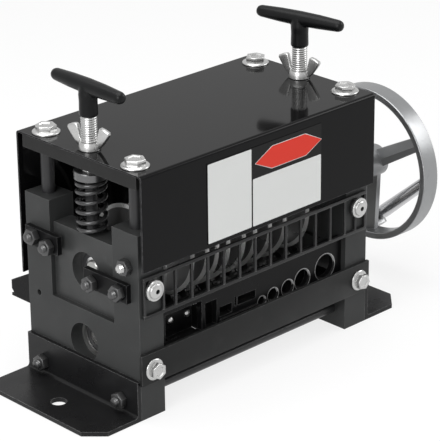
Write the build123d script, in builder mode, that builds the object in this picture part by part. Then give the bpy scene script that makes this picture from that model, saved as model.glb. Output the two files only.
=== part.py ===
from build123d import *
from math import atan, cos, pi, radians, sin, sqrt
import os

os.makedirs("parts", exist_ok=True)

# All sizes are in millimetres. X runs along the machine towards the handwheel, the wire goes in at -Y,
# and Z is up from the bench. The origin lies on the bench, midway between the two end frames.

# --- end frames -----------------------------------------------------------------------------------
frame_face_x = 139.0        # outer face of each end frame
frame_thick = 27.0
frame_depth = 143.0
post_top_z = 169.5
slot_width = 80.0
slot_floor_z = 81.0
spare_hole_inset = 13.5     # from the end frame's rear edge
spare_hole_z = 78.0
spare_hole_radius = 2.75
spare_hole_deep = 6.0

# --- shafts, bearings and gears -------------------------------------------------------------------
upper_z = 114.5
gear_module = 2.5
gear_teeth = 26
pressure_angle = 20.0
gear_backlash = 0.35
gear_wide = 15.0
gear_gap = 21.0             # from the end frame to the gears, which clears the clip bolts
gear_hub_radius = 15.0
gear_hub_long = 5.0
bearing_radius = 17.5
bearing_wide = 11.0
bearing_lip = 2.6           # radial width of the outer ring
bearing_shield_back = 0.8   # how far the shields lie behind the ring's faces
journal_radius = 7.5
core_radius = 10.0
running_gap = 0.04
fit_gap = 0.03
shaft_tip = 2.0             # how far a shaft end stands past its bearing
shaft_chamfer = 1.0

# --- sliding blocks -------------------------------------------------------------------------------
block_recess = 4.5          # the block's outer face lies this far inside the frame's
block_thick = 20.0
block_side_gap = 0.2
block_top_rise = 34.5       # from the upper shaft's axis to the block's top
pin_hole_radius = 5.6
pin_hole_deep = 11.0

# --- cutters and feed rollers ---------------------------------------------------------------------
blade_radius = 46.0
blade_thick = 2.4
blade_bevel = 1.0
collar_radius = 17.0
roller_radius = 19.5
roller_land = 1.6           # rim left on each side of a roller's groove
roller_gap = 0.4
roller_grooves = (4.0, 7.0, 6.0, 1.6, 9.0, 3.0, 4.0, 4.6, 5.6, 7.0)
groove_half_widths = (9.0, 5.6, 5.0, 2.0, 6.0, 5.0, 5.0, 6.6, 8.0, 10.0)
knurl_teeth = 36
knurl_deep = 1.0

# --- top: bridges, cover, bolts -------------------------------------------------------------------
bridge_rise = 40.5          # from the posts' tops to the bridges
bridge_thick = 12.0
cover_sheet = 1.5
cover_over_x = 1.0          # how far the cover stands past the end frames
cover_over_y = 7.0
cover_front_z = 138.5
cover_rear_z = 91.5
cover_bend = 3.0
top_bolt_inset = 15.5
top_bolt_radius = 5.0
top_bolt_grip = 24.0        # length of thread in the post
sleeve_radius = 6.0
bolt_gap = 0.1
flange_radius = 11.0
flange_thick = 2.0
top_head_flats = 16.0
top_head_high = 7.0

# --- pressure screws, caps, springs, wing nuts ----------------------------------------------------
screw_radius = 7.0
screw_gap = 0.08
cap_radius = 12.2
cap_high = 14.0
cap_roof = 4.0
cap_wall = 1.5
cap_pin_radius = 5.0
cap_pin_lift = 2.5          # from the block's top to the pin's end
wire_radius = 1.75
coil_radius = 8.5
end_pitch = 4.15
coil_pitch = 8.45
coil_turns = 4
spring_seat_gap = 0.2
stud_seat_gap = 0.1
stem_rise = 29.5            # from the cover's top to the handle's stem
stem_radius = 8.0
bar_rise = 28.0             # from the stem's lower end to the bar's axis
bar_length = 98.0
bar_radius = 6.8
bar_tip_radius = 5.2
bar_turns = (0.0, 11.0)     # how the left and right handles stand at rest
stem_flare = 9.2
nut_hub_radius = 10.0
nut_hub_high = 9.5
wing_thick = 3.6
wing_inner = 9.4
wing_outer = 17.0
wing_low = 4.0
wing_high = 26.0

# --- guard, beam, tie rods ------------------------------------------------------------------------
guard_top_rise = 16.8       # from the upper shaft's axis
guard_high = 37.7
guard_end_gap = 3.0         # from the end frame's outer face
guard_sheet = 3.0
guard_bar = 3.6
guard_bars = 12
guard_bar_first = -99.2
guard_bar_pitch = 18.85
guard_lug = 9.0
guard_bolt_inset = 14.2
guard_bolt_rise = 3.5
guard_bolt_radius = 4.0
guard_head_radius = 8.2
guard_head_high = 2.8
guard_bolt_grip = 12.0
beam_over_x = 1.5
beam_under_z = 30.0
beam_high = 32.0
beam_thick = 3.5
beam_bolt_inset = 12.4
beam_bolt_z = 46.0
beam_flange_radius = 8.2
beam_flange_thick = 1.6
beam_head_flats = 11.0
beam_head_high = 5.0
tie_radius = 4.6
tie_inset = 16.5
tie_z = 17.0
tie_seat = 12.0

# --- feed plate -----------------------------------------------------------------------------------
feed_set_back = 5.5         # from the end frames' front edge
feed_thick = 6.0
feed_under_z = 33.0
feed_top_z = 91.0
feed_floor_z = 56.0         # level of the lowest point of the round channels
feed_chamfer = 1.0
round_channels = ((10.4, 4.2), (24.4, 5.9), (42.9, 6.8), (61.6, 8.9), (90.8, 11.7))
square_channels = ((-51.5, 14.0, 57.0, 24.0), (-34.0, 15.0, 62.5, 9.0), (-8.5, 22.0, 66.5, 8.0))
slit_channel = (-22.0, 2.0, 67.0, 8.6)
window_x = (-105.0, -62.5)
window_z = (57.0, 85.0)
ledge_x = (-41.0, 4.0)
ledge_z = (58.6, 60.2)
ledge_proud = 1.6
guide_x = (-94.0, -62.5)
guide_set_back = 13.0       # from the feed plate's face
guide_thick = 5.0
guide_under_z = 50.0
guide_top_z = 80.0
guide_foot_high = 6.0
guide_screw_x = (-88.0, -68.0)
guide_screw_z = 71.0
guide_screw_radius = 2.0
guide_head_radius = 3.4
guide_head_high = 2.4

# --- feet -----------------------------------------------------------------------------------------
foot_sheet = 4.0
foot_high = 37.0
foot_reach = 54.0           # from the end frame to the foot's outer edge
foot_corner = 16.0
foot_bend = 3.0
foot_hole_reach = 31.0
foot_hole_radius = 7.0
foot_bolt_inset = 20.5
foot_bolt_z = 15.0

# --- clips that keep the blocks in their slots ----------------------------------------------------
clip_thick = 5.0
rear_clip_inset = 4.5       # from the end frame's rear edge
rear_clip_inner_y = 25.0
rear_clip_z = (124.0, 141.0)
front_clip_inset = 9.5
front_clip_inner_y = -8.0
front_clip_z = (107.0, 124.0)
rear_post_stud = (16.5, 134.0)      # in from the frame's edge, and height
front_post_stud = (18.5, 115.5)
rear_block_stud = (36.0, 129.5)     # place across the frame, and height
front_block_stud = (-19.0, 113.0)
post_bolt_inset = 13.5
post_bolt_z = 139.0
clip_bolt_radius = 4.0
clip_bolt_tail = 15.5
clip_bolt_grip = 8.0
nut_flats = 13.0
nut_high = 6.5

# --- rear outlet ----------------------------------------------------------------------------------
outlet_sheet = 2.5
outlet_reach = 24.5
outlet_top_z = 90.0
outlet_under_z = 63.0
outlet_lip_z = 78.0
outlet_bolt_z = 77.0

# --- label plate ----------------------------------------------------------------------------------
label_x = (-66.5, 70.8)
label_z = (142.0, 214.5)
label_thick = 0.6

# --- handwheel and crank --------------------------------------------------------------------------
wheel_stand_off = 75.7      # from the end frame to the rim
wheel_radius = 75.0
rim_wide = 19.0
rim_thick = 6.5
rim_round = 1.2
wheel_hub_radius = 15.0
hub_behind = 18.7           # how far the hub stands behind the rim's face
wheel_hub_long = 36.0
spoke_count = 3
spoke_turn = 29.5
spoke_root_wide = 17.0
spoke_tip_wide = 13.0
spoke_thick = 5.0
spoke_ridge = 3.0
spoke_set_back = 4.7        # from the rim's outer face
washer_radius = 11.0
washer_thick = 2.0
hub_bolt_flats = 13.0
hub_bolt_high = 5.5
hub_bolt_radius = 4.0
hub_bolt_long = 18.0
pivot_out = 12.3            # from the rim's outer face to the fold pin
pivot_y = 11.0
pivot_drop = 66.5           # from the wheel's axis down to the fold pin
grip_slope = 41.0           # angle of the folded grip above level, towards the front
lug_half = 9.0
lug_ear = 4.0
arm_half_wide = 4.9
arm_round = 5.0
lug_gap = 0.1
fold_pin_radius = 2.5
arm_collar = 9.0
grip_pin_radius = 3.0
grip_length = 74.0
grip_radius = 6.6
grip_tip_radius = 5.8
grip_gap = 0.08
grip_cap_radius = 4.8
grip_cap_high = 2.0

# --- places that follow from the sizes above ------------------------------------------------------
lower_z = upper_z - gear_module * gear_teeth
frame_inner_x = frame_face_x - frame_thick
frame_mid_x = frame_face_x - frame_thick / 2
frame_back_y = frame_depth / 2
frame_front_y = -frame_back_y
outlet_y = (frame_back_y, frame_back_y + outlet_reach)
channel_x = sorted([x for x, *_ in (*round_channels, *square_channels, slit_channel)]
                   + [sum(window_x) / 2])
block_outer_x = frame_face_x - block_recess
block_inner_x = block_outer_x - block_thick
gear_x = frame_face_x + gear_gap
block_top_z = upper_z + block_top_rise
bridge_under_z = post_top_z + bridge_rise
bridge_top_z = bridge_under_z + bridge_thick
cover_top_z = bridge_top_z + cover_sheet
cover_half_x = frame_face_x + cover_over_x
cover_half_y = frame_back_y + cover_over_y
top_bolt_y = frame_back_y - top_bolt_inset
spring_high = 2 * end_pitch + coil_turns * coil_pitch + 2 * wire_radius
cap_roof_z = block_top_z + spring_high + 2 * spring_seat_gap
cap_under_z = cap_roof_z - cap_high + cap_roof
cap_pin_under_z = block_top_z + cap_pin_lift
stem_under_z = cover_top_z + stem_rise
bar_z = stem_under_z + bar_rise
guard_top_z = upper_z + guard_top_rise
guard_under_z = guard_top_z - guard_high
guard_half_x = frame_face_x - guard_end_gap
guard_bolt_x = frame_face_x - guard_bolt_inset
guard_bolt_z = upper_z + guard_bolt_rise
beam_half_x = frame_face_x + beam_over_x
beam_bolt_x = frame_face_x - beam_bolt_inset
tie_y = frame_back_y - tie_inset
feed_face_y = frame_front_y + feed_set_back
guide_face_y = feed_face_y + guide_set_back
foot_bolt_y = frame_back_y - foot_bolt_inset
rear_clip_y = (rear_clip_inner_y, frame_back_y - rear_clip_inset)
front_clip_y = (frame_front_y + front_clip_inset, front_clip_inner_y)
post_studs = ((frame_back_y - rear_post_stud[0], rear_post_stud[1]),
              (frame_front_y + front_post_stud[0], front_post_stud[1]))
block_studs = (rear_block_stud, front_block_stud)
post_bolt = (frame_front_y + post_bolt_inset, post_bolt_z)
spare_hole = (frame_back_y - spare_hole_inset, spare_hole_z)
wheel_face_x = frame_face_x + wheel_stand_off
wheel_back_x = wheel_face_x - hub_behind
wheel_hub_x = (wheel_back_x, wheel_back_x + wheel_hub_long)
spoke_back_x = wheel_face_x + rim_wide - spoke_set_back
pivot_x = wheel_face_x + rim_wide + pivot_out
pivot_z = upper_z - pivot_drop
blade_bore = core_radius + fit_gap
sides = ((-1, "left"), (1, "right"))
grip_way = (0.0, -cos(radians(grip_slope)), sin(radians(grip_slope)))
fold_way = (0.0, sin(radians(grip_slope)), cos(radians(grip_slope)))
up, down, front, back = (0, 0, 1), (0, 0, -1), (0, -1, 0), (0, 1, 0)


# --- helpers --------------------------------------------------------------------------------------
def save(built, name):
    """Name a finished sub-part and write it to its own file."""
    built.part.label = name
    export_step(built.part, f"parts/{name}.step")
    print(f"{name}: {len(built.part.solids())} solid(s), {built.part.volume / 1000:.2f} cm3")


def rounds(spots, radius, length, way, mode=Mode.ADD):
    """Add or cut round bars that start at each spot and run along one direction."""
    for spot in spots:
        with BuildSketch(Plane(origin=spot, z_dir=way)) as disc:
            Circle(radius)
        extrude(disc.sketch, amount=length, mode=mode)


def hexes(spots, flats, length, way):
    """Add six-sided bars that start at each spot and run along one direction."""
    for spot in spots:
        with BuildSketch(Plane(origin=spot, z_dir=way)) as six:
            RegularPolygon(flats / sqrt(3), 6)
        extrude(six.sketch, amount=length)


def block(x, y, z, mode=Mode.ADD):
    """Add or cut a box between two values on each axis."""
    middle = ((x[0] + x[1]) / 2, (y[0] + y[1]) / 2, (z[0] + z[1]) / 2)
    with Locations(middle):
        Box(abs(x[1] - x[0]), abs(y[1] - y[0]), abs(z[1] - z[0]), mode=mode)


def turned(profile, origin, way, side_way):
    """Add a turned form: profile holds (distance along the axis, radius) pairs."""
    plane = Plane(origin=origin, x_dir=way, z_dir=side_way)
    start, end = profile[0][0], profile[-1][0]
    with BuildSketch(plane) as half:
        with BuildLine():
            Polyline((start, 0), *profile, (end, 0), close=True)
        make_face()
    revolve(half.sketch, axis=Axis(origin, way))


# --- static frame ---------------------------------------------------------------------------------
def end_frame(side):
    """A thick plate with an open slot for the sliding block and a fixed bore below it."""
    face = side * frame_face_x
    outward, inward = (side, 0, 0), (-side, 0, 0)
    slot_high = post_top_z - slot_floor_z
    with BuildPart() as plate:
        with BuildSketch(Plane.YZ.offset(face)):
            with Locations((0, post_top_z / 2)):
                Rectangle(frame_depth, post_top_z)
            with Locations((0, slot_floor_z + slot_high / 2)):
                Rectangle(slot_width, slot_high, mode=Mode.SUBTRACT)
            with Locations((0, lower_z)):
                Circle(bearing_radius + fit_gap, mode=Mode.SUBTRACT)
        extrude(amount=-side * frame_thick)
        rounds([(side * frame_mid_x, y, post_top_z) for y in (-top_bolt_y, top_bolt_y)],
               top_bolt_radius + bolt_gap, top_bolt_grip + 2, down, Mode.SUBTRACT)
        rounds([(face, *spare_hole)], spare_hole_radius, spare_hole_deep, inward, Mode.SUBTRACT)
        rounds([(side * guard_bolt_x, frame_front_y, guard_bolt_z),
                (side * beam_bolt_x, frame_front_y, beam_bolt_z)],
               guard_bolt_radius + bolt_gap, guard_bolt_grip + 2, back, Mode.SUBTRACT)
        rounds([(side * beam_bolt_x, -frame_front_y, outlet_bolt_z)],
               guard_bolt_radius + bolt_gap, guard_bolt_grip + 2, front, Mode.SUBTRACT)
        studs = [*post_studs, post_bolt, (-foot_bolt_y, foot_bolt_z), (foot_bolt_y, foot_bolt_z)]
        rounds([(face, y, z) for y, z in studs],
               clip_bolt_radius + bolt_gap, clip_bolt_grip + 2, inward, Mode.SUBTRACT)
        rounds([(side * frame_inner_x, y, tie_z) for y in (-tie_y, tie_y)],
               tie_radius + bolt_gap, tie_seat + 1, outward, Mode.SUBTRACT)
    return plate


def foot(side):
    """A bent foot: one leg stands against the end frame, the other lies on the bench."""
    inner = side * frame_face_x
    outer = side * (frame_face_x + foot_reach)
    wall = side * (frame_face_x + foot_sheet)
    with BuildPart() as angle:
        with BuildSketch(Plane.XZ.offset(frame_front_y)):
            with BuildLine():
                Polyline((inner, 0), (outer, 0), (outer, foot_sheet), (wall, foot_sheet),
                         (wall, foot_high), (inner, foot_high), close=True)
            make_face()
        extrude(amount=frame_depth)
        bends = angle.edges().filter_by(Axis.Y).group_by(lambda e: abs(e.center().X - wall)
                                                         + abs(e.center().Z - foot_sheet))[0]
        fillet(bends, foot_bend)
        corners = angle.edges().filter_by(Axis.Z).filter_by(
            lambda e: abs(e.center().X - outer) < 0.1)
        chamfer(corners, foot_corner)
        rounds([(side * (frame_face_x + foot_hole_reach), 0, 0)],
               foot_hole_radius, foot_sheet, up, Mode.SUBTRACT)
        rounds([(inner, y, foot_bolt_z) for y in (-foot_bolt_y, foot_bolt_y)],
               clip_bolt_radius + bolt_gap, foot_sheet, (side, 0, 0), Mode.SUBTRACT)
    return angle


def bridge(side):
    """The plate over one end frame, with the thread for the pressure screw."""
    with BuildPart() as plate:
        x = side * frame_mid_x
        block((x - frame_thick / 2, x + frame_thick / 2), (-frame_depth / 2, frame_depth / 2),
              (bridge_under_z, bridge_top_z))
        rounds([(x, 0, bridge_under_z)], screw_radius + screw_gap, bridge_thick, up, Mode.SUBTRACT)
        rounds([(x, y, bridge_under_z) for y in (-top_bolt_y, top_bolt_y)],
               top_bolt_radius + bolt_gap, bridge_thick, up, Mode.SUBTRACT)
    return plate


def sleeves():
    """Four tubes that hold the bridges above the posts."""
    spots = [(s * frame_mid_x, y, post_top_z) for s in (-1, 1) for y in (-top_bolt_y, top_bolt_y)]
    high = bridge_under_z - post_top_z
    with BuildPart() as tubes:
        rounds(spots, sleeve_radius, high, up)
        rounds(spots, top_bolt_radius + bolt_gap, high, up, Mode.SUBTRACT)
    return tubes


def flange_bolts(spots, way, shank, head):
    """Flange bolts: shank holds (radius, length), head holds flange radius and height, flats, height."""
    flange, thick, flats, high = head
    with BuildPart() as bolts:
        for spot in spots:
            under = Vector(*spot)
            rounds([under], shank[0], shank[1], tuple(-c for c in way))
            turned([(0, flange), (thick * 0.45, flange), (thick, flange * 0.86)],
                   under, way, (1, 0, 0))
            hexes([(under + Vector(*way) * thick)], flats, high, way)
    return bolts


def top_bolts():
    """The four bolts that hold cover, bridges and sleeves down on the posts."""
    spots = [(s * frame_mid_x, y, cover_top_z) for s in (-1, 1) for y in (-top_bolt_y, top_bolt_y)]
    return flange_bolts(spots, up, (top_bolt_radius, cover_top_z - post_top_z + top_bolt_grip),
                        (flange_radius, flange_thick, top_head_flats, top_head_high))


def cover():
    """The bent sheet over the top, front and rear."""
    y = cover_half_y
    t = cover_sheet
    with BuildPart() as sheet:
        with BuildSketch(Plane.YZ.offset(-cover_half_x)):
            with BuildLine():
                Polyline((-y, cover_front_z), (-y, cover_top_z), (y, cover_top_z), (y, cover_rear_z),
                         (y - t, cover_rear_z), (y - t, cover_top_z - t), (t - y, cover_top_z - t),
                         (t - y, cover_front_z), close=True)
            make_face()
        extrude(amount=2 * cover_half_x)
        along = sheet.edges().filter_by(Axis.X)
        fillet(along.filter_by(lambda e: abs(e.center().Z - cover_top_z) < 0.01), cover_bend)
        fillet(along.filter_by(lambda e: abs(e.center().Z - cover_top_z + t) < 0.01), cover_bend - t)
        rounds([(s * frame_mid_x, 0, cover_top_z - t) for s in (-1, 1)],
               screw_radius + 3 * screw_gap, t, up, Mode.SUBTRACT)
        rounds([(s * frame_mid_x, v, cover_top_z - t) for s in (-1, 1) for v in (-top_bolt_y, top_bolt_y)],
               top_bolt_radius + bolt_gap, t, up, Mode.SUBTRACT)
    return sheet


def label_plate():
    """The thin plate on the front of the cover, left bare."""
    with BuildPart() as plate:
        block(label_x, (-cover_half_y - label_thick, -cover_half_y), label_z)
    return plate


def guard():
    """The grille over the blades: a flat frame with upright bars."""
    y = (frame_front_y - guard_sheet, frame_front_y)
    ends = (-guard_half_x, guard_half_x)
    last = guard_bar_first + guard_bar_pitch * (guard_bars - 1)
    with BuildPart() as grille:
        block(ends, y, (guard_top_z - guard_bar, guard_top_z))
        block(ends, y, (guard_under_z, guard_under_z + guard_bar))
        for n in range(guard_bars):
            x = guard_bar_first + n * guard_bar_pitch
            block((x - guard_bar / 2, x + guard_bar / 2), y, (guard_under_z, guard_top_z))
        for x in (-guard_half_x + guard_bar / 2, guard_half_x - guard_bar / 2):
            block((x - guard_bar / 2, x + guard_bar / 2), y, (guard_under_z, guard_top_z))
        lug_z = (guard_bolt_z - guard_lug / 2, guard_bolt_z + guard_lug / 2)
        block((ends[0], guard_bar_first), y, lug_z)
        block((last, ends[1]), y, lug_z)
        rounds([(s * guard_bolt_x, y[0], guard_bolt_z) for s in (-1, 1)],
               guard_bolt_radius + bolt_gap, guard_sheet, back, Mode.SUBTRACT)
    return grille


def guard_bolts():
    """Two round-headed bolts that hold the guard."""
    with BuildPart() as bolts:
        for s in (-1, 1):
            seat = (s * guard_bolt_x, frame_front_y - guard_sheet, guard_bolt_z)
            rounds([seat], guard_bolt_radius, guard_sheet + guard_bolt_grip, back)
            turned([(0, guard_head_radius), (guard_head_high * 0.6, guard_head_radius),
                    (guard_head_high, guard_head_radius * 0.8)], seat, front, (1, 0, 0))
    return bolts


def front_beam():
    """The flat bar across the front, under the feed channels."""
    y = (frame_front_y - beam_thick, frame_front_y)
    with BuildPart() as bar:
        block((-beam_half_x, beam_half_x), y, (beam_under_z, beam_under_z + beam_high))
        rounds([(s * beam_bolt_x, y[0], beam_bolt_z) for s in (-1, 1)],
               guard_bolt_radius + bolt_gap, beam_thick, back, Mode.SUBTRACT)
    return bar


def beam_bolts():
    """Flange bolts of the front beam and of the rear outlet."""
    head = (beam_flange_radius, beam_flange_thick, beam_head_flats, beam_head_high)
    fronts = [(s * beam_bolt_x, frame_front_y - beam_thick, beam_bolt_z) for s in (-1, 1)]
    rears = [(s * beam_bolt_x, outlet_y[0] + outlet_sheet, outlet_bolt_z) for s in (-1, 1)]
    shank = guard_bolt_radius
    ahead = flange_bolts(fronts, front, (shank, beam_thick + guard_bolt_grip), head)
    behind = flange_bolts(rears, back, (shank, outlet_sheet + guard_bolt_grip), head)
    with BuildPart() as bolts:
        add(ahead.part)
        add(behind.part)
    return bolts


def tie_rods():
    """Two round rods low down between the end frames."""
    reach = frame_inner_x + tie_seat
    with BuildPart() as rods:
        rounds([(-reach, y, tie_z) for y in (-tie_y, tie_y)], tie_radius, 2 * reach, (1, 0, 0))
    return rods


def feed_plate():
    """The black plate behind the beam, with one hole for each size of wire."""
    y = (feed_face_y, feed_face_y + feed_thick)
    with BuildPart() as plate:
        block((-frame_inner_x, frame_inner_x), y, (feed_under_z, feed_top_z))
        block(window_x, y, window_z, Mode.SUBTRACT)
        for x, r in round_channels:
            centre = (x, y[0], feed_floor_z + feed_chamfer + r)
            rounds([centre], r, feed_thick, back, Mode.SUBTRACT)
            with Locations(Location(centre, (90, 0, 0))):
                Cone(r, r + feed_chamfer, feed_chamfer, align=(Align.CENTER, Align.CENTER, Align.MAX),
                     mode=Mode.SUBTRACT)
        for x, wide, low, high in (*square_channels, slit_channel):
            block((x - wide / 2, x + wide / 2), y, (low, low + high), Mode.SUBTRACT)
        block(ledge_x, (y[0] - ledge_proud, y[0]), ledge_z)
    return plate


def flat_guide():
    """The set-back wall that guides flat cable through the open window."""
    foot_y = feed_face_y + feed_thick
    with BuildPart() as wall:
        block(guide_x, (guide_face_y, guide_face_y + guide_thick), (guide_under_z, guide_top_z))
        block(guide_x, (foot_y, guide_face_y), (guide_under_z, guide_under_z + guide_foot_high))
        rounds([(x, guide_face_y, guide_screw_z) for x in guide_screw_x],
               guide_screw_radius + bolt_gap, guide_thick, back, Mode.SUBTRACT)
    return wall


def guide_screws():
    """Two small screws in the flat guide."""
    with BuildPart() as screws:
        seats = [(x, guide_face_y, guide_screw_z) for x in guide_screw_x]
        rounds(seats, guide_screw_radius, guide_thick, back)
        rounds(seats, guide_head_radius, guide_head_high, front)
    return screws


def outlet():
    """The rear outlet: an open tray with a cheek and a bolted tab at each end."""
    (y0, y1), t = outlet_y, outlet_sheet
    run = y1 - y0 - t
    with BuildPart() as chute:
        block((-frame_face_x, frame_face_x), (y0, y1), (outlet_under_z, outlet_under_z + t))
        for s in (-1, 1):
            block((s * frame_inner_x, s * frame_face_x), (y0, y0 + t), (outlet_under_z, outlet_top_z))
            with BuildSketch(Plane.YZ.offset(s * frame_face_x)):
                with BuildLine():
                    Polyline((y0 + t, outlet_under_z), (y1 - run * 0.3, outlet_under_z),
                             (y1, outlet_under_z + run * 0.3), (y1, outlet_lip_z),
                             (y0 + t, outlet_top_z), close=True)
                make_face()
            extrude(amount=-s * t)
        rounds([(s * beam_bolt_x, y0, outlet_bolt_z) for s in (-1, 1)],
               guard_bolt_radius + bolt_gap, t, back, Mode.SUBTRACT)
    return chute


def clip(side, y, z):
    """A flat bar on the end frame that keeps the sliding block in its slot."""
    face = side * frame_face_x
    with BuildPart() as bar:
        block((face, face + side * clip_thick), y, z)
        inside = [(v, w) for v, w in (*post_studs, *block_studs) if y[0] < v < y[1]]
        rounds([(face, v, w) for v, w in inside],
               clip_bolt_radius + bolt_gap, clip_thick, (side, 0, 0), Mode.SUBTRACT)
    return bar


def clip_studs():
    """Threaded studs of the clips, of the front posts and of the feet."""
    with BuildPart() as studs:
        for s, _ in sides:
            for places, start in ((block_studs, block_outer_x + stud_seat_gap),
                                  (post_studs, frame_face_x - clip_bolt_grip)):
                rounds([(s * start, y, z) for y, z in places], clip_bolt_radius,
                       frame_face_x + clip_bolt_tail - start, (s, 0, 0))
            places = [(*post_bolt, clip_thick)]
            places += [(v, foot_bolt_z, foot_sheet) for v in (-foot_bolt_y, foot_bolt_y)]
            for y, z, under in places:
                rounds([(s * (frame_face_x - clip_bolt_grip), y, z)], clip_bolt_radius,
                       clip_bolt_grip + under - clip_thick + clip_bolt_tail, (s, 0, 0))
    return studs


def clip_nuts():
    """The nuts on those studs."""
    with BuildPart() as nuts:
        for s, _ in sides:
            spots = [(s * (frame_face_x + clip_thick), y, z) for y, z in (*post_studs, *block_studs)]
            spots += [(s * frame_face_x, *post_bolt)]
            spots += [(s * (frame_face_x + foot_sheet), v, foot_bolt_z)
                      for v in (-foot_bolt_y, foot_bolt_y)]
            hexes(spots, nut_flats, nut_high, (s, 0, 0))
            rounds(spots, clip_bolt_radius + fit_gap, nut_high, (s, 0, 0), Mode.SUBTRACT)
    return nuts


# --- bearings and blocks --------------------------------------------------------------------------
def bearing(side, inner_x, z):
    """A ball bearing as one ring, with its shields set back from the faces."""
    ring = bearing_radius - bearing_lip
    with BuildPart() as race:
        rounds([(side * inner_x, 0, z)], bearing_radius, bearing_wide, (side, 0, 0))
        for x, way in ((inner_x, side), (inner_x + bearing_wide, -side)):
            with BuildSketch(Plane(origin=(side * x, 0, z), z_dir=(way, 0, 0))) as shield:
                Circle(ring)
                Circle(journal_radius + bearing_lip, mode=Mode.SUBTRACT)
            extrude(shield.sketch, amount=bearing_shield_back, mode=Mode.SUBTRACT)
        rounds([(side * inner_x, 0, z)], journal_radius + running_gap, bearing_wide,
               (side, 0, 0), Mode.SUBTRACT)
    return race


def sliding_block(side):
    """The block that carries the upper shaft and slides in the end frame's slot."""
    half = slot_width / 2 - block_side_gap
    with BuildPart() as body:
        block((side * block_inner_x, side * block_outer_x), (-half, half), (slot_floor_z, block_top_z))
        rounds([(side * block_inner_x, 0, upper_z)], bearing_radius + fit_gap, block_thick,
               (side, 0, 0), Mode.SUBTRACT)
        rounds([(side * frame_mid_x, 0, block_top_z)], pin_hole_radius, pin_hole_deep,
               down, Mode.SUBTRACT)
    return body


# --- pressure screws ------------------------------------------------------------------------------
def spring_points():
    """Points and headings of the spring's centre line, every quarter turn from the bottom up."""
    pitches = [end_pitch] * 4 + [coil_pitch] * 4 * coil_turns + [end_pitch] * 4
    height = block_top_z + spring_seat_gap + wire_radius
    knots = []
    for n in range(len(pitches) + 1):
        angle = n * pi / 2
        near = pitches[max(n - 1, 0):n + 1]
        climb = sum(near) / len(near) / (2 * pi)
        steep = Vector(-coil_radius * sin(angle), coil_radius * cos(angle), climb).normalized()
        knots.append((Vector(coil_radius * cos(angle), coil_radius * sin(angle), height), steep))
        if n < len(pitches):
            height += pitches[n] / 4
    return knots


def spring(side):
    """One unbroken tube through two arcs for each quarter turn."""
    shift = Vector(side * frame_mid_x, 0, 0)
    knots = [(p + shift, t) for p, t in spring_points()]
    with BuildPart() as coil:
        with BuildLine() as path:
            for (p, t), (q, u) in zip(knots, knots[1:]):
                v, w = q - p, t + u
                bend = t.dot(u) - 1
                reach = (v.dot(w) - sqrt(v.dot(w) ** 2 - 2 * bend * v.dot(v))) / (2 * bend)
                a, b = p + t * reach, q - u * reach
                middle = (a + b) / 2
                TangentArc(p, middle, tangent=t)
                TangentArc(middle, q, tangent=b - a)
        with BuildSketch(Plane(origin=knots[0][0], z_dir=knots[0][1])):
            Circle(wire_radius)
        sweep(path=path.wire())
    return coil


def spring_gap():
    """Least gap between the spring's turns, measured on points along its centre line."""
    knots = spring_points()
    steps = 12
    points = []
    for n, ((p, _), (q, _)) in enumerate(zip(knots, knots[1:])):
        for k in range(steps):
            angle = (n + k / steps) * pi / 2
            points.append(Vector(coil_radius * cos(angle), coil_radius * sin(angle),
                                 p.Z + (q.Z - p.Z) * k / steps))
    return min((points[i] - points[j]).length for i in range(len(points))
               for j in range(i + 2 * steps, len(points))) - 2 * wire_radius


def cap(side):
    """The cup on top of the spring, with the pin that guides it."""
    x = side * frame_mid_x
    with BuildPart() as cup:
        rounds([(x, 0, cap_under_z)], cap_radius, cap_high, up)
        rounds([(x, 0, cap_under_z)], cap_radius - cap_wall, cap_high - cap_roof, up, Mode.SUBTRACT)
        rounds([(x, 0, cap_pin_under_z)], cap_pin_radius,
               cap_under_z + cap_high - cap_roof - cap_pin_under_z, up)
    return cup


def pressure_screw(side):
    """The threaded rod that presses on the cap."""
    low = cap_under_z + cap_high
    with BuildPart() as rod:
        rounds([(side * frame_mid_x, 0, low)], screw_radius, stem_under_z - low, up)
    return rod


def handle(side, turn):
    """The moulded T handle on the pressure screw."""
    x = side * frame_mid_x
    half = bar_length / 2
    flat = radians(turn)
    along = (sin(flat), -cos(flat), 0)
    with BuildPart() as grip:
        turned([(0, stem_radius), (bar_z - stem_under_z - bar_radius, stem_radius),
                (bar_z - stem_under_z, stem_flare)], (x, 0, stem_under_z), up, (0, 1, 0))
        profile = [(-half, bar_tip_radius * 0.55), (-half + 2, bar_tip_radius * 0.9),
                   (-half + 5, bar_tip_radius), (-stem_flare, bar_radius), (stem_flare, bar_radius),
                   (half - 5, bar_tip_radius), (half - 2, bar_tip_radius * 0.9),
                   (half, bar_tip_radius * 0.55)]
        turned(profile, (x, 0, bar_z), along, (cos(flat), sin(flat), 0))
    return grip


def wing_nut(side):
    """The lock nut with two wings that runs on the pressure screw."""
    x, z = side * frame_mid_x, cover_top_z
    with BuildPart() as nut:
        turned([(0, nut_hub_radius), (nut_hub_high * 0.3, nut_hub_radius),
                (nut_hub_high, nut_hub_radius * 0.92)], (x, 0, z), up, (0, 1, 0))
        for s in (-1, 1):
            near = Plane(origin=(x - s * wing_thick / 2, 0, z), x_dir=(0, s, 0), z_dir=(s, 0, 0))
            with BuildSketch(near) as wing:
                with BuildLine():
                    Polyline((nut_hub_radius * 0.6, wing_low * 0.4), (nut_hub_radius, wing_low),
                             (wing_outer, wing_high * 0.62), (wing_outer, wing_high * 0.9),
                             (wing_outer - 3, wing_high), (wing_inner + 1.5, wing_high * 0.86),
                             (wing_inner, wing_high * 0.62), (wing_inner, nut_hub_high * 0.95),
                             (nut_hub_radius * 0.6, nut_hub_high * 0.9), close=True)
                make_face()
            extrude(wing.sketch, amount=wing_thick)
        rounds([(x, 0, z)], screw_radius + screw_gap, wing_high, up, Mode.SUBTRACT)
    return nut


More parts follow.
